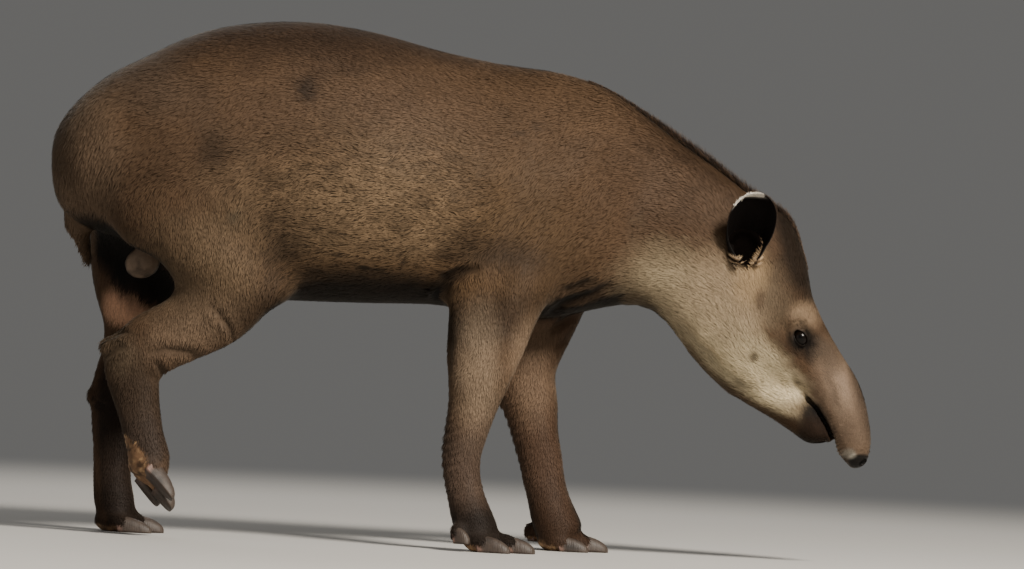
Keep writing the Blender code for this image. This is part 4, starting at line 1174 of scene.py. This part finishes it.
# The flesh as one smooth skin, with fewer triangles where it is calm
def skinForm():
    body = joined(fleshPieces(), "body")
    fused(body, skin["roughGrain"])
    outermost(body)
    eased(body.data, skin["firstRounds"], 1, 0.5)
    eased(body.data, skin["trunkRounds"], softness, 0.2)
    swelled(body.data)
    (x, z, y), radii, turn = scrotum
    body = joined([body, tailForm(), ball("scrotum", (x, y, z), radii, turn, 24)], "body")
    fused(body, skin["fineGrain"])
    outermost(body)
    eased(body.data, skin["lastRounds"], 1, 0.5)
    calmShare = softness(pointsOf(body.data)) > 0.6
    calm = body.vertex_groups.new(name="calm")
    calm.add([int(i) for i in np.nonzero(calmShare)[0]], 1.0, "REPLACE")
    total = triangleCount(body.data)
    thin = body.modifiers.new("thin", "DECIMATE")
    thin.ratio = (total * (1 - calmShare.mean()) + skin["calmTriangles"]) / total
    thin.vertex_group = calm.name
    applied(body)
    body.vertex_groups.clear()
    print("skin triangles", total, triangleCount(body.data))
    return body


def nearEye(points, reach):
    x, y, z = eye["centre"]
    off = np.stack([points[:, 0] - x, np.abs(points[:, 1]) + y, points[:, 2] - z], 1)
    return np.linalg.norm(off, axis=1) < reach


# The places where the skin is refined: round the eyes, at the creases of the trunk, and at the mouth
def nearCrease(points):
    near = np.zeros(len(points), bool)
    for face, line, width, _ in creases.values():
        sides = {"near": points[:, 1] < 0, "both": points[:, 1] < 1e9}.get(face, points[:, 1] > 0)
        near |= (alongLine(points[:, [0, 2]], line)[0] < 2.6 * width) & sides & (softness(points) > 0.55)
    return near


def nearMouth(points, reach):
    slit = alongLine(points[:, [0, 2]], mouthLine)[0] < reach
    return slit | (np.linalg.norm(points - (808, 0, 216), axis=1) < reach + 14)


print("stage: skin")
body = skinForm()
refined(body.data, nearCrease)
for eyeReach, mouthReach in ((42, 26), (31, 13)):
    refined(body.data, lambda p: nearEye(p, eyeReach) | nearMouth(p, mouthReach))
refined(body.data, lambda p: nearEye(p, 23))
eased(body.data, 3, lambda p: (nearEye(p, 46) | (p[:, 0] > 690)).astype(float), 0.5)
points, foldShade = modelFolds(pointsOf(body.data), normalsOf(body.data))
setPoints(body.data, points)
points, faceShade = modelFace(points, normalsOf(body.data))
setPoints(body.data, points)
normals = normalsOf(body.data)
lie, length, width, density = coatGrowth(points, normals)
depth = skin["faceDepth"] + (skin["coatDepth"] - skin["faceDepth"]) * smoothStep(7, 20, length)
points -= normals * depth[:, None]
points[:, 2] = np.maximum(points[:, 2], skin["lowest"])
setPoints(body.data, points)
print("skin triangles", triangleCount(body.data))
triangles = np.empty(len(body.data.polygons) * 3, int)
body.data.polygons.foreach_get("vertices", triangles)
triangles = triangles.reshape(-1, 3)
bpy.data.objects.remove(body)

# Tapir hide: thick grey-brown skin, grown and scuffed, which shows dull and finely pored between the hairs,
# and bare, darker and slightly moist on lips, nose and lids
hideLook = {
    "poreSize": 2.4,  # pores are under 1 across in life, and are drawn this coarse to show
    "poreDepth": 0.5,
    "poreBump": 0.35,
    "creaseSize": 9,
    "creaseDepth": 1.2,
    "creaseBump": 0.45,
    "roughness": 0.72,
    "bareRoughness": 0.55,
    "gloss": 0.16,
    "bareGloss": 0.06,  # what bare skin has more
    "shadedUnderCoat": 0.74,  # how much of its colour the skin keeps between the hairs, where the rest is painted shade
    "shadedUnderLocks": 0.34,  # what more it loses to painted shade where the coat parts into locks
}


def hideMaterial():
    patches = hideLook["creaseSize"], 6, (0.3, 0.7), (0.82, 1.15), 0.62
    made, tree, where, folds, colour = patchyMaterial("tapirHide", *patches)
    bare = addNode(tree, "Attribute", {"attribute_name": "bare"})
    gloss = addNode(tree, "Attribute", {"attribute_name": "gloss"})
    pores = addNode(tree, "TexVoronoi", {"Scale": 1 / (hideLook["poreSize"] * mm)}, {"Vector": where})
    settings = {"To Min": hideLook["roughness"], "To Max": hideLook["bareRoughness"]}
    rough = addNode(tree, "MapRange", settings, {"Value": bare.outputs["Fac"]})
    settings = {"Strength": hideLook["poreBump"], "Distance": hideLook["poreDepth"] * mm}
    small = addNode(tree, "Bump", settings, {"Height": pores.outputs["Distance"]})
    settings = {"Strength": hideLook["creaseBump"], "Distance": hideLook["creaseDepth"] * mm}
    large = addNode(tree, "Bump", settings, {"Height": folds, "Normal": small.outputs["Normal"]})
    links = {"Base Color": colour, "Roughness": rough.outputs["Result"], "Normal": large.outputs["Normal"]}
    links["Specular IOR Level"] = gloss.outputs["Fac"]
    shader = addNode(tree, "BsdfPrincipled", {"IOR": 1.45}, links)
    addNode(tree, "OutputMaterial", {}, {"Surface": shader.outputs["BSDF"]})
    return made


# Tapir coat: short, coarse, flat-lying guard hair in small clumps. It is matt, with a soft shine along the
# lie, and each clump is a little lighter or darker than the next
coatLook = {
    "streak": 3.5,  # how large the lighter and darker patches are, drawn coarser than real hair, to show
    "roughness": 0.66,
    "mostTufts": 49500,  # in one piece
    "locks": {  # where the coat is coarsest and parts into wavy locks: place, radii, turn and strength
        "flank": ((-200, 640), (330, 210), 0, 1),
        "thigh": ((-600, 620), (200, 120), -20, 0.4),
    },
    "parting": ((-185, 580), (150, 95)),  # the low flank, where painted shade marks crevices between the locks
    "swing": 0.13,  # how far single tufts turn from the lie, in radians
    "long": (0.75, 1.2),  # how the length of the tufts varies, and their width
    "wide": (0.8, 1.2),
    "lean": ((0.075, 0.03), (0.02, 0.15)),  # how far they stand off the hide and its spread, and the limits
    "single": 0.05,  # how much lighter or darker one tuft is than the next
    "patch": (0.07, 26),  # how much patches of coat are, and their size
    "shades": (0.22, 1.75),  # the darkest and lightest that a tuft may be, for its colour
    "clumpSize": 5.5,
    "clump": (0.05, 0.46),  # how much darker and lighter clumps are, and what locks add to that
    "creviceSize": 10,
    "crevice": 0.7,  # how dark the painted shade in the crevices is
    "ridge": 0.12,  # how much lighter the locks between them are, as painted highlight
    "waveSize": 9,
    "wave": (0.24, 0.22),  # how far the hair waves to and fro, and what locks add
    "root": (0.84, 0.54),  # how light the tufts' roots stay under their painted shade, and what locks take off
}


def coatMaterial(name, roughness):
    made, tree, _, _, colour = patchyMaterial(name, coatLook["streak"], 3, (0.25, 0.75), (0.84, 1.14))
    settings = {"Roughness": roughness, "IOR": 1.5, "Specular IOR Level": 0.16}
    settings |= {"Sheen Weight": 0.1, "Sheen Roughness": 0.45, "Sheen Tint": (0.86, 0.74, 0.58, 1)}
    shader = addNode(tree, "BsdfPrincipled", settings, {"Base Color": colour})
    addNode(tree, "OutputMaterial", {}, {"Surface": shader.outputs["BSDF"]})
    return made


# How much the coat parts into locks at each point
def lockShare(points):
    share = np.zeros(len(points))
    for middle, radii, turn, strength in coatLook["locks"].values():
        share = np.maximum(share, strength * smoothStep(1.3, 0.5, inEllipse(points, middle, radii, turn)))
    return share


# The hide's mesh with its colours and its unwrap, which gives the map places of each triangle's corners
def makeHide():
    mesh = meshFrom("hide", points, triangles)
    # the skin between the hairs is darkened as painted shade, except where it is bare
    under = hideLook["shadedUnderCoat"] - hideLook["shadedUnderLocks"] * locks
    addColours(mesh, colours * (under + (1 - under) * bare)[:, None])
    addValues(mesh, "bare", bare)
    addValues(mesh, "gloss", (hideLook["gloss"] + hideLook["bareGloss"] * bare) * (1 - cup))
    made = place(mesh, hide)
    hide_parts("torso", "neck", "head", "tail", "scrotum")
    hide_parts("foreleg_left", "foreleg_right", "hindleg_left", "hindleg_right")
    bpy.context.view_layer.objects.active = made
    made.select_set(True)
    mesh.uv_layers.new(name="OFBake")
    bpy.ops.object.mode_set(mode="EDIT")
    bpy.ops.mesh.select_all(action="SELECT")
    bpy.ops.uv.smart_project(angle_limit=1.15, island_margin=0.003)
    bpy.ops.object.mode_set(mode="OBJECT")
    corners = np.empty(len(mesh.loops) * 2, np.float32)
    mesh.uv_layers["OFBake"].uv.foreach_get("vector", corners)
    return corners.reshape(-1, 3, 2).astype(float)


print("stage: hide and its unwrap")
hide, coat = hideMaterial(), coatMaterial("tapirCoat", coatLook["roughness"])
locks, cup = lockShare(points), shadedEarCup(points)
colours, bare = hideColours(points, normals, np.maximum(foldShade, faceShade)), bareShare(points, normals)
corners = makeHide()

# The pieces of the coat from rear to front: where each ends along x, and then the head and the legs
trunkRegions = {"rump": -430, "flank": -60, "shoulder": 262, "neck": 470}
regionNames = [*trunkRegions, "head", "hind_leg", "foreleg"]


def regionOf(middles):
    x, z = middles[:, 0], middles[:, 2]
    legs = legShare(middles) > 0.5
    region = np.searchsorted(list(trunkRegions.values())[:3], x, side="right")
    region = np.where((x > trunkRegions["neck"]) & (z < 790), 4, region)
    return np.where(legs & (x < -200), 5, np.where(legs & (x < 400), 6, region))


# Tufts on the chosen triangles, as many on each as its share asks
def coatPiece(name, chosen, share):
    number = int(min(share.sum(), coatLook["mostTufts"]))
    steps = np.cumsum(share) / share.sum()
    spread = (np.arange(number) + chance.random(number)) / number
    pick = chosen[np.searchsorted(steps, spread).clip(0, len(chosen) - 1)]
    u, v = chance.random((2, number))
    flip = u + v > 1
    u, v = np.where(flip, 1 - u, u), np.where(flip, 1 - v, v)
    weights = np.stack([1 - u - v, u, v], 1)

    def within(values):
        return (values[triangles[pick]] * (weights[:, :, None] if values.ndim > 1 else weights)).sum(1)

    root, normal = within(points), unit(within(normals))
    way = flattened(within(lie), normal)
    way = turned(way, normal, chance.normal(0, coatLook["swing"], number))
    long = within(length) * chance.uniform(*coatLook["long"], number)
    wide = within(width) * chance.uniform(*coatLook["wide"], number)
    lock = within(locks)
    (least, more), (much, size) = coatLook["clump"], coatLook["patch"]
    clump = streaks(root, way, coatLook["clumpSize"], 31) * (least + more * lock)
    clump = clump + much * grain(root, size, 32)
    # on the low flank: painted shade in the crevices between locks, and painted highlight on the locks
    parted = smoothStep(1.2, 0.5, inEllipse(root, *coatLook["parting"]))
    crevice = smoothStep(0.15, 0.6, streaks(root, way, coatLook["creviceSize"], 37))
    clump = clump - coatLook["crevice"] * parted * crevice + coatLook["ridge"] * parted
    single = chance.normal(0, coatLook["single"], number)
    tint = within(colours) * (1 + clump + single).clip(*coatLook["shades"])[:, None]
    stand, limits = coatLook["lean"]
    lean = np.abs(chance.normal(*stand, number)).clip(*limits)
    patch = (corners[pick] * weights[:, :, None]).sum(1)
    least, more = coatLook["wave"]
    way = turned(way, normal, (least + more * lock) * streaks(root, way, coatLook["waveSize"], 35))
    # painted shade at the tufts' roots
    light, taken = coatLook["root"]
    rootShade = light - taken * lock + 0.08 * smoothStep(420, 520, root[:, 0])
    slivers(name, root, normal, way, long, wide, lean, tint, rootShade, patch, coat)


def growCoat():
    a, b, c = (points[triangles[:, i]] for i in range(3))
    areas = 0.5 * np.linalg.norm(np.cross(b - a, c - a), axis=1)
    middles = (a + b + c) / 3
    # none where the skin is bare, inside the ears, or in the mouth and nostrils
    grown = 1 - np.maximum(np.maximum(bare, cup), smoothStep(0.55, 0.9, faceShade))
    grown = grown[triangles]
    wanted = areas * density[triangles].mean(1) * grown.mean(1) * (grown.min(1) > 0.25)
    print("tufts wanted", wanted.sum())
    region = regionOf(middles)
    for index, regionName in enumerate(regionNames):
        for side, sideName in sideNames.items():
            chosen = np.nonzero((region == index) & (np.sign(middles[:, 1]) == side) & (wanted > 0))[0]
            coatPiece(f"coat_{regionName}_{sideName}", chosen, wanted[chosen])


print("stage: coat")
growCoat()

# Mane bristle: stiff upright hair, near black with browner tips among it, and a little glossier than the coat
maneLook = {
    "count": 5600,
    "halfWidth": 9,
    "length": 29,
    "width": 1.9,  # bristles are about 0.4 wide in life, and are drawn this thick to show
    "colour": "#2b201a",
    "tipColour": "#5c4836",
    "roughness": 0.5,
}
# The crest that it grows from, from the withers to the crown: x, z
maneLine = [
    (236, 948), (300, 919), (370, 878), (440, 827), (508, 779),
    (566, 738), (616, 709), (648, 680), (672, 638), (694, 590),
]


def crestPoint(share):
    rows = smoothRows(maneLine, 8)
    lengths = np.concatenate([[0], np.cumsum(np.linalg.norm(np.diff(rows, axis=0), axis=1))])
    at = share * lengths[-1]
    places = (np.stack([np.interp(at + d, lengths, row) for row in rows.T], -1) for d in (0, 5, -5))
    point, ahead, back = places
    return point, unit(ahead - back)


def growMane():
    count = maneLook["count"]
    share = (np.arange(count) + chance.random(count)) / count
    aside = chance.normal(0, 0.45, count).clip(-1, 1) * maneLook["halfWidth"]
    point, along = crestPoint(share.clip(0, 1))
    lean = np.radians(aside * 2.4)
    up = np.stack([-along[:, 1] * np.cos(lean), np.sin(lean), along[:, 0] * np.cos(lean)], 1)
    way = np.stack([-along[:, 0], aside * 0.01, -along[:, 1]], 1)
    root = np.stack([point[:, 0], aside, point[:, 1]], 1)
    # down to the skin itself
    start = root + up * 40
    tree = BVHTree.FromPolygons([Vector(p) * mm for p in points], triangles.tolist())
    for i in range(count):
        hit = tree.ray_cast(Vector(start[i] * mm), Vector(-up[i]), 0.09)
        if hit[0] is not None:
            root[i] = np.array(hit[0]) / mm
    swell = smoothStep(-0.06, 0.42, share) * (1 - 0.85 * smoothStep(0.66, 1.0, share))
    long = maneLook["length"] * swell.clip(0.22, 1) * chance.uniform(0.6, 1.05, count)
    long = long * (1 - 0.35 * np.abs(aside) / maneLook["halfWidth"])
    tint = linear(maneLook["colour"])[None] * chance.uniform(0.7, 1.5, (count, 1))
    brown = chance.random(count) < 0.3
    tint[brown] = linear(maneLook["tipColour"]) * chance.uniform(0.7, 1.1, (brown.sum(), 1))
    rise = (chance.normal(0.66, 0.1, count) - 0.015 * np.abs(aside)).clip(0.3, 0.9)
    wide, bend = maneLook["width"] * chance.uniform(0.8, 1.3, count), chance.normal(0, 0.12, count)
    patch = np.stack([0.05 + 0.9 * share, 0.5 + aside * 0.004], 1)
    bristle = coatMaterial("maneBristle", maneLook["roughness"])
    strands("mane", root, up, way, long, wide, rise, bend, tint, patch, bristle, (0.2, 0.5, 0.8), 3)


print("stage: mane")
growMane()

# Hair of an ear: how many, their length, colour, width and rise. It is white along the rim, dark behind, and
# pale and long in the notch at the base
earHair = {
    "rim": (2600, 5.5, "rim", 1.5, 0.16),
    "back": (4200, 7, "back", 1.8, 0.16),
    "base": (1000, 15, "notch", 0.8, 0.3),
}


# The cupped leaf of an ear on a grid: across from -1 to 1 and up from 0 to 1, inner face or outer face
def earSheet(side, outer, u, v):
    root, up, out, across, length = earFrame(side)
    bend, radius = earSection(v)
    angle = u * bend / 2
    thick = ear["thickness"] * (1 - 0.55 * np.abs(u) ** 3) * (1 - 0.4 * v)
    # low ridges of gristle inside the cup
    ridges = 1.1 * np.sin(u * 9) * np.exp(-(((v - 0.45) / 0.25) ** 2)) * (1 - u**2)
    reach = radius + (thick if outer else 0.5 + np.maximum(ridges, -0.4))
    deep = reach * np.cos(angle) - radius * np.maximum(np.cos(bend / 2), -0.2)
    spot = root + up * (length * v)[..., None] + across * (reach * np.sin(angle))[..., None]
    return (spot - out * deep[..., None]).reshape(-1, 3)


def makeEar(side, sideName):
    columns, rows = ear["columns"], ear["rows"]
    v, u = np.meshgrid(np.linspace(0, 1, rows + 1), np.linspace(-1, 1, columns + 1), indexing="ij")
    v = 1 - (1 - v) ** 1.25
    inner = earSheet(side, False, u, v)
    grid = np.concatenate([inner, earSheet(side, True, u, v)])
    total, wide = len(inner), columns + 1
    quads = []
    for a in (i * wide + k for i in range(rows) for k in range(columns)):
        b = a + wide
        quads += [(a, a + 1, b + 1, b), (total + b, total + b + 1, total + a + 1, total + a)]
    edge = list(range(wide)) + [i * wide + columns for i in range(1, rows + 1)]
    edge += [rows * wide + k for k in range(columns - 1, -1, -1)] + [i * wide for i in range(rows - 1, 0, -1)]
    quads += [(q, p, total + p, total + q) for p, q in zip(edge, edge[1:] + edge[:1])]
    faces = np.array([t for q in quads for t in ((q[0], q[1], q[2]), (q[0], q[2], q[3]))])
    us, vs = np.tile(u.ravel(), 2), np.tile(v.ravel(), 2)
    isOuter = np.repeat([0.0, 1.0], total)
    # the white rim at the tip and down the sides, and painted shade on the outer face near the root, where
    # the leaf curls into a tube
    rim = smoothStep(0.91, 0.97, vs) + smoothStep(0.9, 0.97, np.abs(us)) * smoothStep(0.72, 0.9, vs)
    rim = np.clip(rim, 0, 1) * smoothStep(1.55, 0.7, us * side + 0.6)
    notch = smoothStep(0.45, 0.7, np.abs(us)) * smoothStep(0.62, 0.5, vs)
    shade = blendTone(np.tile(linear(ear["inside"]), (len(grid), 1)), ear["back"], isOuter)
    shade = blendTone(shade, ear["inside"], notch * smoothStep(0.05, 0.12, vs))
    mesh = facedOut(meshFrom(f"ear_{sideName}_leaf", grid, faces[:, ::-side]))
    addColours(mesh, blendTone(shade, ear["rim"], rim * 0.9))
    addValues(mesh, "bare", np.zeros(len(grid)))
    addValues(mesh, "gloss", 0.25 * isOuter + 0.06)
    leaf = place(mesh, hide)
    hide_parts(f"ear_{sideName}")
    normals = normalsOf(mesh)
    where = {
        "rim": (rim > 0.25) & (vs < 0.999),
        "back": (isOuter > 0.5) & (rim < 0.6) & (notch < 0.2) & (vs > 0.02) & (vs < 0.98),
        "base": (vs < 0.06) & (np.abs(us) > 0.5) & (isOuter > 0.5),
    }
    # the hair lies towards the tip, and at the base it leans into the notch
    tipward = (np.array(ear["tip"]) - ear["root"]) * (1, -side, 1)
    tipward = tipward / np.linalg.norm(tipward)
    slot = inner[(np.abs(us[:total]) > 0.98) & (vs[:total] < 0.3)].mean(0)
    for kind, (number, long, tone, wide, rise) in earHair.items():
        chosen = chance.choice(np.nonzero(where[kind])[0], number)
        jitter = chance.normal(0, 1.2, (number, 3))
        normal = normals[chosen]
        way = np.tile(tipward, (number, 1)) + chance.normal(0, 0.2, (number, 3))
        if kind == "base":
            way += 0.022 * (slot - grid[chosen])
        way = flattened(way, normal, 0)
        jitter -= normal * (jitter * normal).sum(1)[:, None]
        tint = linear(ear[tone]) * chance.uniform(0.65, 1.15, (number, 1))
        if kind == "back":
            tint = blendTone(tint, ear["foot"], smoothStep(0.3, 0.08, vs[chosen]))
        size = long * chance.uniform(0.6, 1.1, number)
        lift, bend = rise * chance.uniform(0.5, 1.3, number), chance.normal(0, 0.12, number)
        patch = np.stack([us[chosen] * 0.45 + 0.5, vs[chosen] * 0.9 + 0.05], 1)
        root, wide = grid[chosen] + jitter - normal * 0.3, np.full(number, wide)
        name = f"ear_{sideName}_{kind}_hair"
        strands(name, root, normal, way, size, wide, lift, bend, tint, patch, coat, (0.4,), 0.6)


print("stage: ears")
for side, sideName in sideNames.items():
    makeEar(side, sideName)

# Eye: a wet ball, dark brown round a wide black pupil and dark to its edge, so it shows mostly its own gloss
eyeLook = {
    "pupil": "#050404",
    "iris": "#0e0906",
    "edge": "#100b08",
    "grain": 1.1,  # the iris's fine rays
    "pupilSize": (6.2, 4.4),
    "irisSize": 12,
    "inset": 0.25,  # how far it lies inside the solid eye
}


def eyeMaterial():
    made, tree, _, _, colour = patchyMaterial("wetEye", eyeLook["grain"], 4, (0, 1), (0.7, 1.3))
    settings = {"Roughness": 0.3, "Specular IOR Level": 0.1}
    settings |= {"Coat Weight": 0.35, "Coat Roughness": 0.04, "Coat IOR": 1.33}
    shader = addNode(tree, "BsdfPrincipled", settings, {"Base Color": colour})
    addNode(tree, "OutputMaterial", {}, {"Surface": shader.outputs["BSDF"]})
    return made


def makeEye(side, sideName):
    work = bmesh.new()
    bmesh.ops.create_uvsphere(work, u_segments=96, v_segments=64, radius=1)
    bmesh.ops.triangulate(work, faces=work.faces)
    sphere = np.array([v.co for v in work.verts])
    faces = np.array([[v.index for v in f.verts] for f in work.faces])
    work.free()
    x, y, z = eye["centre"]
    ballPoints = sphere * (eye["radius"] - eyeLook["inset"]) + (x, -y * side, z)
    along, across, spread, _ = eyeFrame(ballPoints)
    front = (sphere[:, 1] * side) > 0
    iris = smoothStep(eyeLook["irisSize"] + 0.8, eyeLook["irisSize"] - 0.8, np.sqrt(spread))
    tint = blendTone(np.tile(linear(eyeLook["edge"]), (len(sphere), 1)), eyeLook["iris"], iris * front)
    pupil = np.hypot(along / eyeLook["pupilSize"][0], across / eyeLook["pupilSize"][1])
    mesh = meshFrom(f"eyeball_{sideName}", ballPoints, faces)
    addColours(mesh, blendTone(tint, eyeLook["pupil"], smoothStep(1.15, 0.9, pupil) * front))
    made = place(mesh, wetEye)
    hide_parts(f"eye_{sideName}")


print("stage: eyes")
wetEye = eyeMaterial()
for side, sideName in sideNames.items():
    makeEye(side, sideName)

# Hoof horn: grown in bands from the cuticle, dusty grey-brown, a little paler at the tip, and dark underneath
hornLook = {
    "wall": "#3f342c",
    "dark": "#1b1511",
    "tip": "#453a31",
    "cuticle": "#86675a",
    "sole": "#33261b",
    "band": 3.2,  # growth bands, patches of dirt and fine grit
    "patch": 7,
    "grit": 1.3,
    "ridge": 0.3,  # how far a band stands out
    "lean": 0.3,  # how far the wall leans back, for its height
    "inset": (0.5, 0.6),  # how far its sides and its top lie inside the solid hoof
    "arcs": 25,
}
# A hoof from its root to its tip: how far along, and the share left of its full width and height
hoofShape = (
    (0.0, 1.0, 1.0), (0.3, 1.0, 0.94), (0.58, 0.96, 0.8),
    (0.8, 0.84, 0.6), (0.93, 0.63, 0.42), (1.0, 0.36, 0.24),
)


def hornMaterial():
    patches = hornLook["patch"], 6, (0.3, 0.7), (0.72, 1.25), 0.65
    made, tree, where, patchy, colour = patchyMaterial("hoofHorn", *patches)
    grown = addNode(tree, "Attribute", {"attribute_name": "grown"})
    grit = addNode(tree, "TexNoise", {"Scale": 1 / (hornLook["grit"] * mm), "Detail": 2}, {"Vector": where})
    links = {0: patchy, 2: grown.outputs["Fac"]}
    wander = addNode(tree, "Math", {"operation": "MULTIPLY_ADD", 1: 1.6}, links)
    turns = addNode(tree, "Math", {"operation": "MULTIPLY", 1: 2 * math.pi}, {0: wander.outputs[0]})
    bands = addNode(tree, "Math", {"operation": "SINE"}, {0: turns.outputs[0]})
    rough = addNode(tree, "MapRange", {"To Min": 0.42, "To Max": 0.72}, {"Value": grit.outputs["Fac"]})
    ridge = addNode(tree, "Bump", {"Strength": 0.3, "Distance": 0.35 * mm}, {"Height": bands.outputs[0]})
    links = {"Height": grit.outputs["Fac"], "Normal": ridge.outputs["Normal"]}
    rub = addNode(tree, "Bump", {"Strength": 0.4, "Distance": 0.3 * mm}, links)
    links = {"Base Color": colour, "Roughness": rough.outputs["Result"], "Normal": rub.outputs["Normal"]}
    shader = addNode(tree, "BsdfPrincipled", {"IOR": 1.54, "Specular IOR Level": 0.5}, links)
    addNode(tree, "OutputMaterial", {}, {"Surface": shader.outputs["BSDF"]})
    return made


def makeHoof(foot, toe):
    length, half, height, lift = toesOf(foot)[toe][3:]
    where = toePlace(foot, toe)
    arcs, shape = hornLook["arcs"], smoothRows(hoofShape, 6)
    sideInset, topInset = hornLook["inset"]
    grid, local = [], []
    for share, broad, tall in shape:
        wide, high = half * broad, height * tall
        ridge = hornLook["ridge"] * math.sin(share * length / hornLook["band"] * 2 * math.pi)
        for k in range(arcs):
            across, up = rounded(math.pi * k / (arcs - 1), 2.3)
            lean = hornLook["lean"] * high * up * (1 - share)
            aside, above = (wide - sideInset + ridge * 0.5) * across, lift + (high - topInset + ridge) * up
            grid.append(where @ Vector((length * share - lean, aside, above)))
            local.append((share, up))
    last = (len(shape) - 1) * arcs
    faces = []
    for i in range(0, last, arcs):
        for a in range(i, i + arcs - 1):
            faces += [(a, a + 1, a + arcs + 1), (a, a + arcs + 1, a + arcs)]
        faces += [(i, i + arcs, i + 2 * arcs - 1), (i, i + 2 * arcs - 1, i + arcs - 1)]
    faces += [(0, k + 1, k) for k in range(1, arcs - 1)]
    faces += [(last, last + k, last + k + 1) for k in range(1, arcs - 1)]
    grid = np.array([list(p) for p in grid])
    along, up = np.array(local).T
    noise = grain(grid, 9, 41)
    tint = np.tile(linear(hornLook["wall"]), (len(grid), 1))
    shares = {
        "dark": smoothStep(0.1, 0.7, grain(grid, 16, 42)) * 0.7,
        "tip": smoothStep(0.55, 1.0, along + 0.1 * noise) * 0.7,
        "cuticle": smoothStep(0.22, 0.1, along + 0.05 * noise) * 0.7,
        "sole": smoothStep(0.12, 0.02, up) * 0.8,
    }
    for tone, share in shares.items():
        tint = blendTone(tint, hornLook[tone], share)
    mesh = facedOut(meshFrom(f"horn_{foot}_{toe}", grid, np.array(faces)))
    addColours(mesh, tint)
    addValues(mesh, "grown", along * length / hornLook["band"])
    made = place(mesh, horn)
    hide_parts(f"hoof_{foot}_{toe}")


print("stage: hooves")
horn = hornMaterial()
for foot in feet:
    for toe in toesOf(foot):
        makeHoof(foot, toe)

# Studio floor: pale matt paint, which fades out far from the animal so that no edge shows
floor = {"radius": 6, "fade": (2.5, 5.5), "colour": (0.5, 0.49, 0.47, 1)}


def paleMaterial():
    made, tree = newMaterial("paleFloor")
    where = addNode(tree, "TexCoord")
    far = addNode(tree, "VectorMath", {"operation": "LENGTH"}, {0: where.outputs["Object"]})
    near, away = floor["fade"]
    settings = {"From Min": near, "From Max": away, "interpolation_type": "SMOOTHSTEP"}
    fade = addNode(tree, "MapRange", settings, {"Value": far.outputs["Value"]})
    flat = addNode(tree, "BsdfDiffuse", {"Color": floor["colour"]})
    clear = addNode(tree, "BsdfTransparent")
    links = {0: fade.outputs["Result"], 1: flat.outputs["BSDF"], 2: clear.outputs["BSDF"]}
    blend = addNode(tree, "MixShader", {}, links)
    addNode(tree, "OutputMaterial", {}, {"Surface": blend.outputs["Shader"]})
    return made


def makeFloor():
    mesh = bpy.data.meshes.new("floor")
    work = bmesh.new()
    bmesh.ops.create_circle(work, cap_ends=True, segments=96, radius=floor["radius"])
    work.to_mesh(mesh)
    work.free()
    mesh.materials.append(paleMaterial())
    linked("floor", mesh)


# Each light: its place, its size, its power and its tint. They all look at the middle of the animal
studio = {
    "key": ((3.4, -4.3, 4.6), 1.5, 890, (1.0, 0.93, 0.83)),
    "fill": ((-4.2, -4.0, 2.2), 3.6, 20, (0.97, 0.97, 1.0)),
    "rim": ((-1.5, 4.5, 3.8), 3.0, 80, (1.0, 0.98, 0.95)),
}
sky = {"Color": (0.62, 0.61, 0.59, 1), "Strength": 0.22}


def makeLights():
    for name, (spot, size, power, tint) in studio.items():
        light = bpy.data.lights.new(name, "AREA")
        light.size, light.energy, light.color = size, power, tint
        made = linked(name, light)
        made.location = spot
        made.rotation_euler = (Vector((0, 0, 0.5)) - Vector(spot)).to_track_quat("-Z", "Y").to_euler()
    world = bpy.data.worlds.new("studio")
    bpy.context.scene.world = world
    world.use_nodes = True
    for name, value in sky.items():
        world.node_tree.nodes["Background"].inputs[name].default_value = value


# The view from the animal's right, level with its middle, with the picture leaning a little
view = {"target": (0.098, 0, 0.532), "distance": 14, "shownWidth": 2.048, "sensor": 36, "lean": 2.6}


def makeCamera():
    lens = bpy.data.cameras.new("view")
    lens.sensor_width = view["sensor"]
    lens.lens = view["sensor"] * view["distance"] / view["shownWidth"]
    lens.clip_end = 100
    made = linked("view", lens)
    look = Vector((0, 1, 0))
    made.location = Vector(view["target"]) - look * view["distance"]
    turn = look.to_track_quat("-Z", "Y").to_matrix() @ Matrix.Rotation(math.radians(view["lean"]), 3, "Z")
    made.rotation_euler = turn.to_euler()
    bpy.context.scene.camera = made


print("stage: floor, light and camera")
makeFloor()
makeLights()
makeCamera()
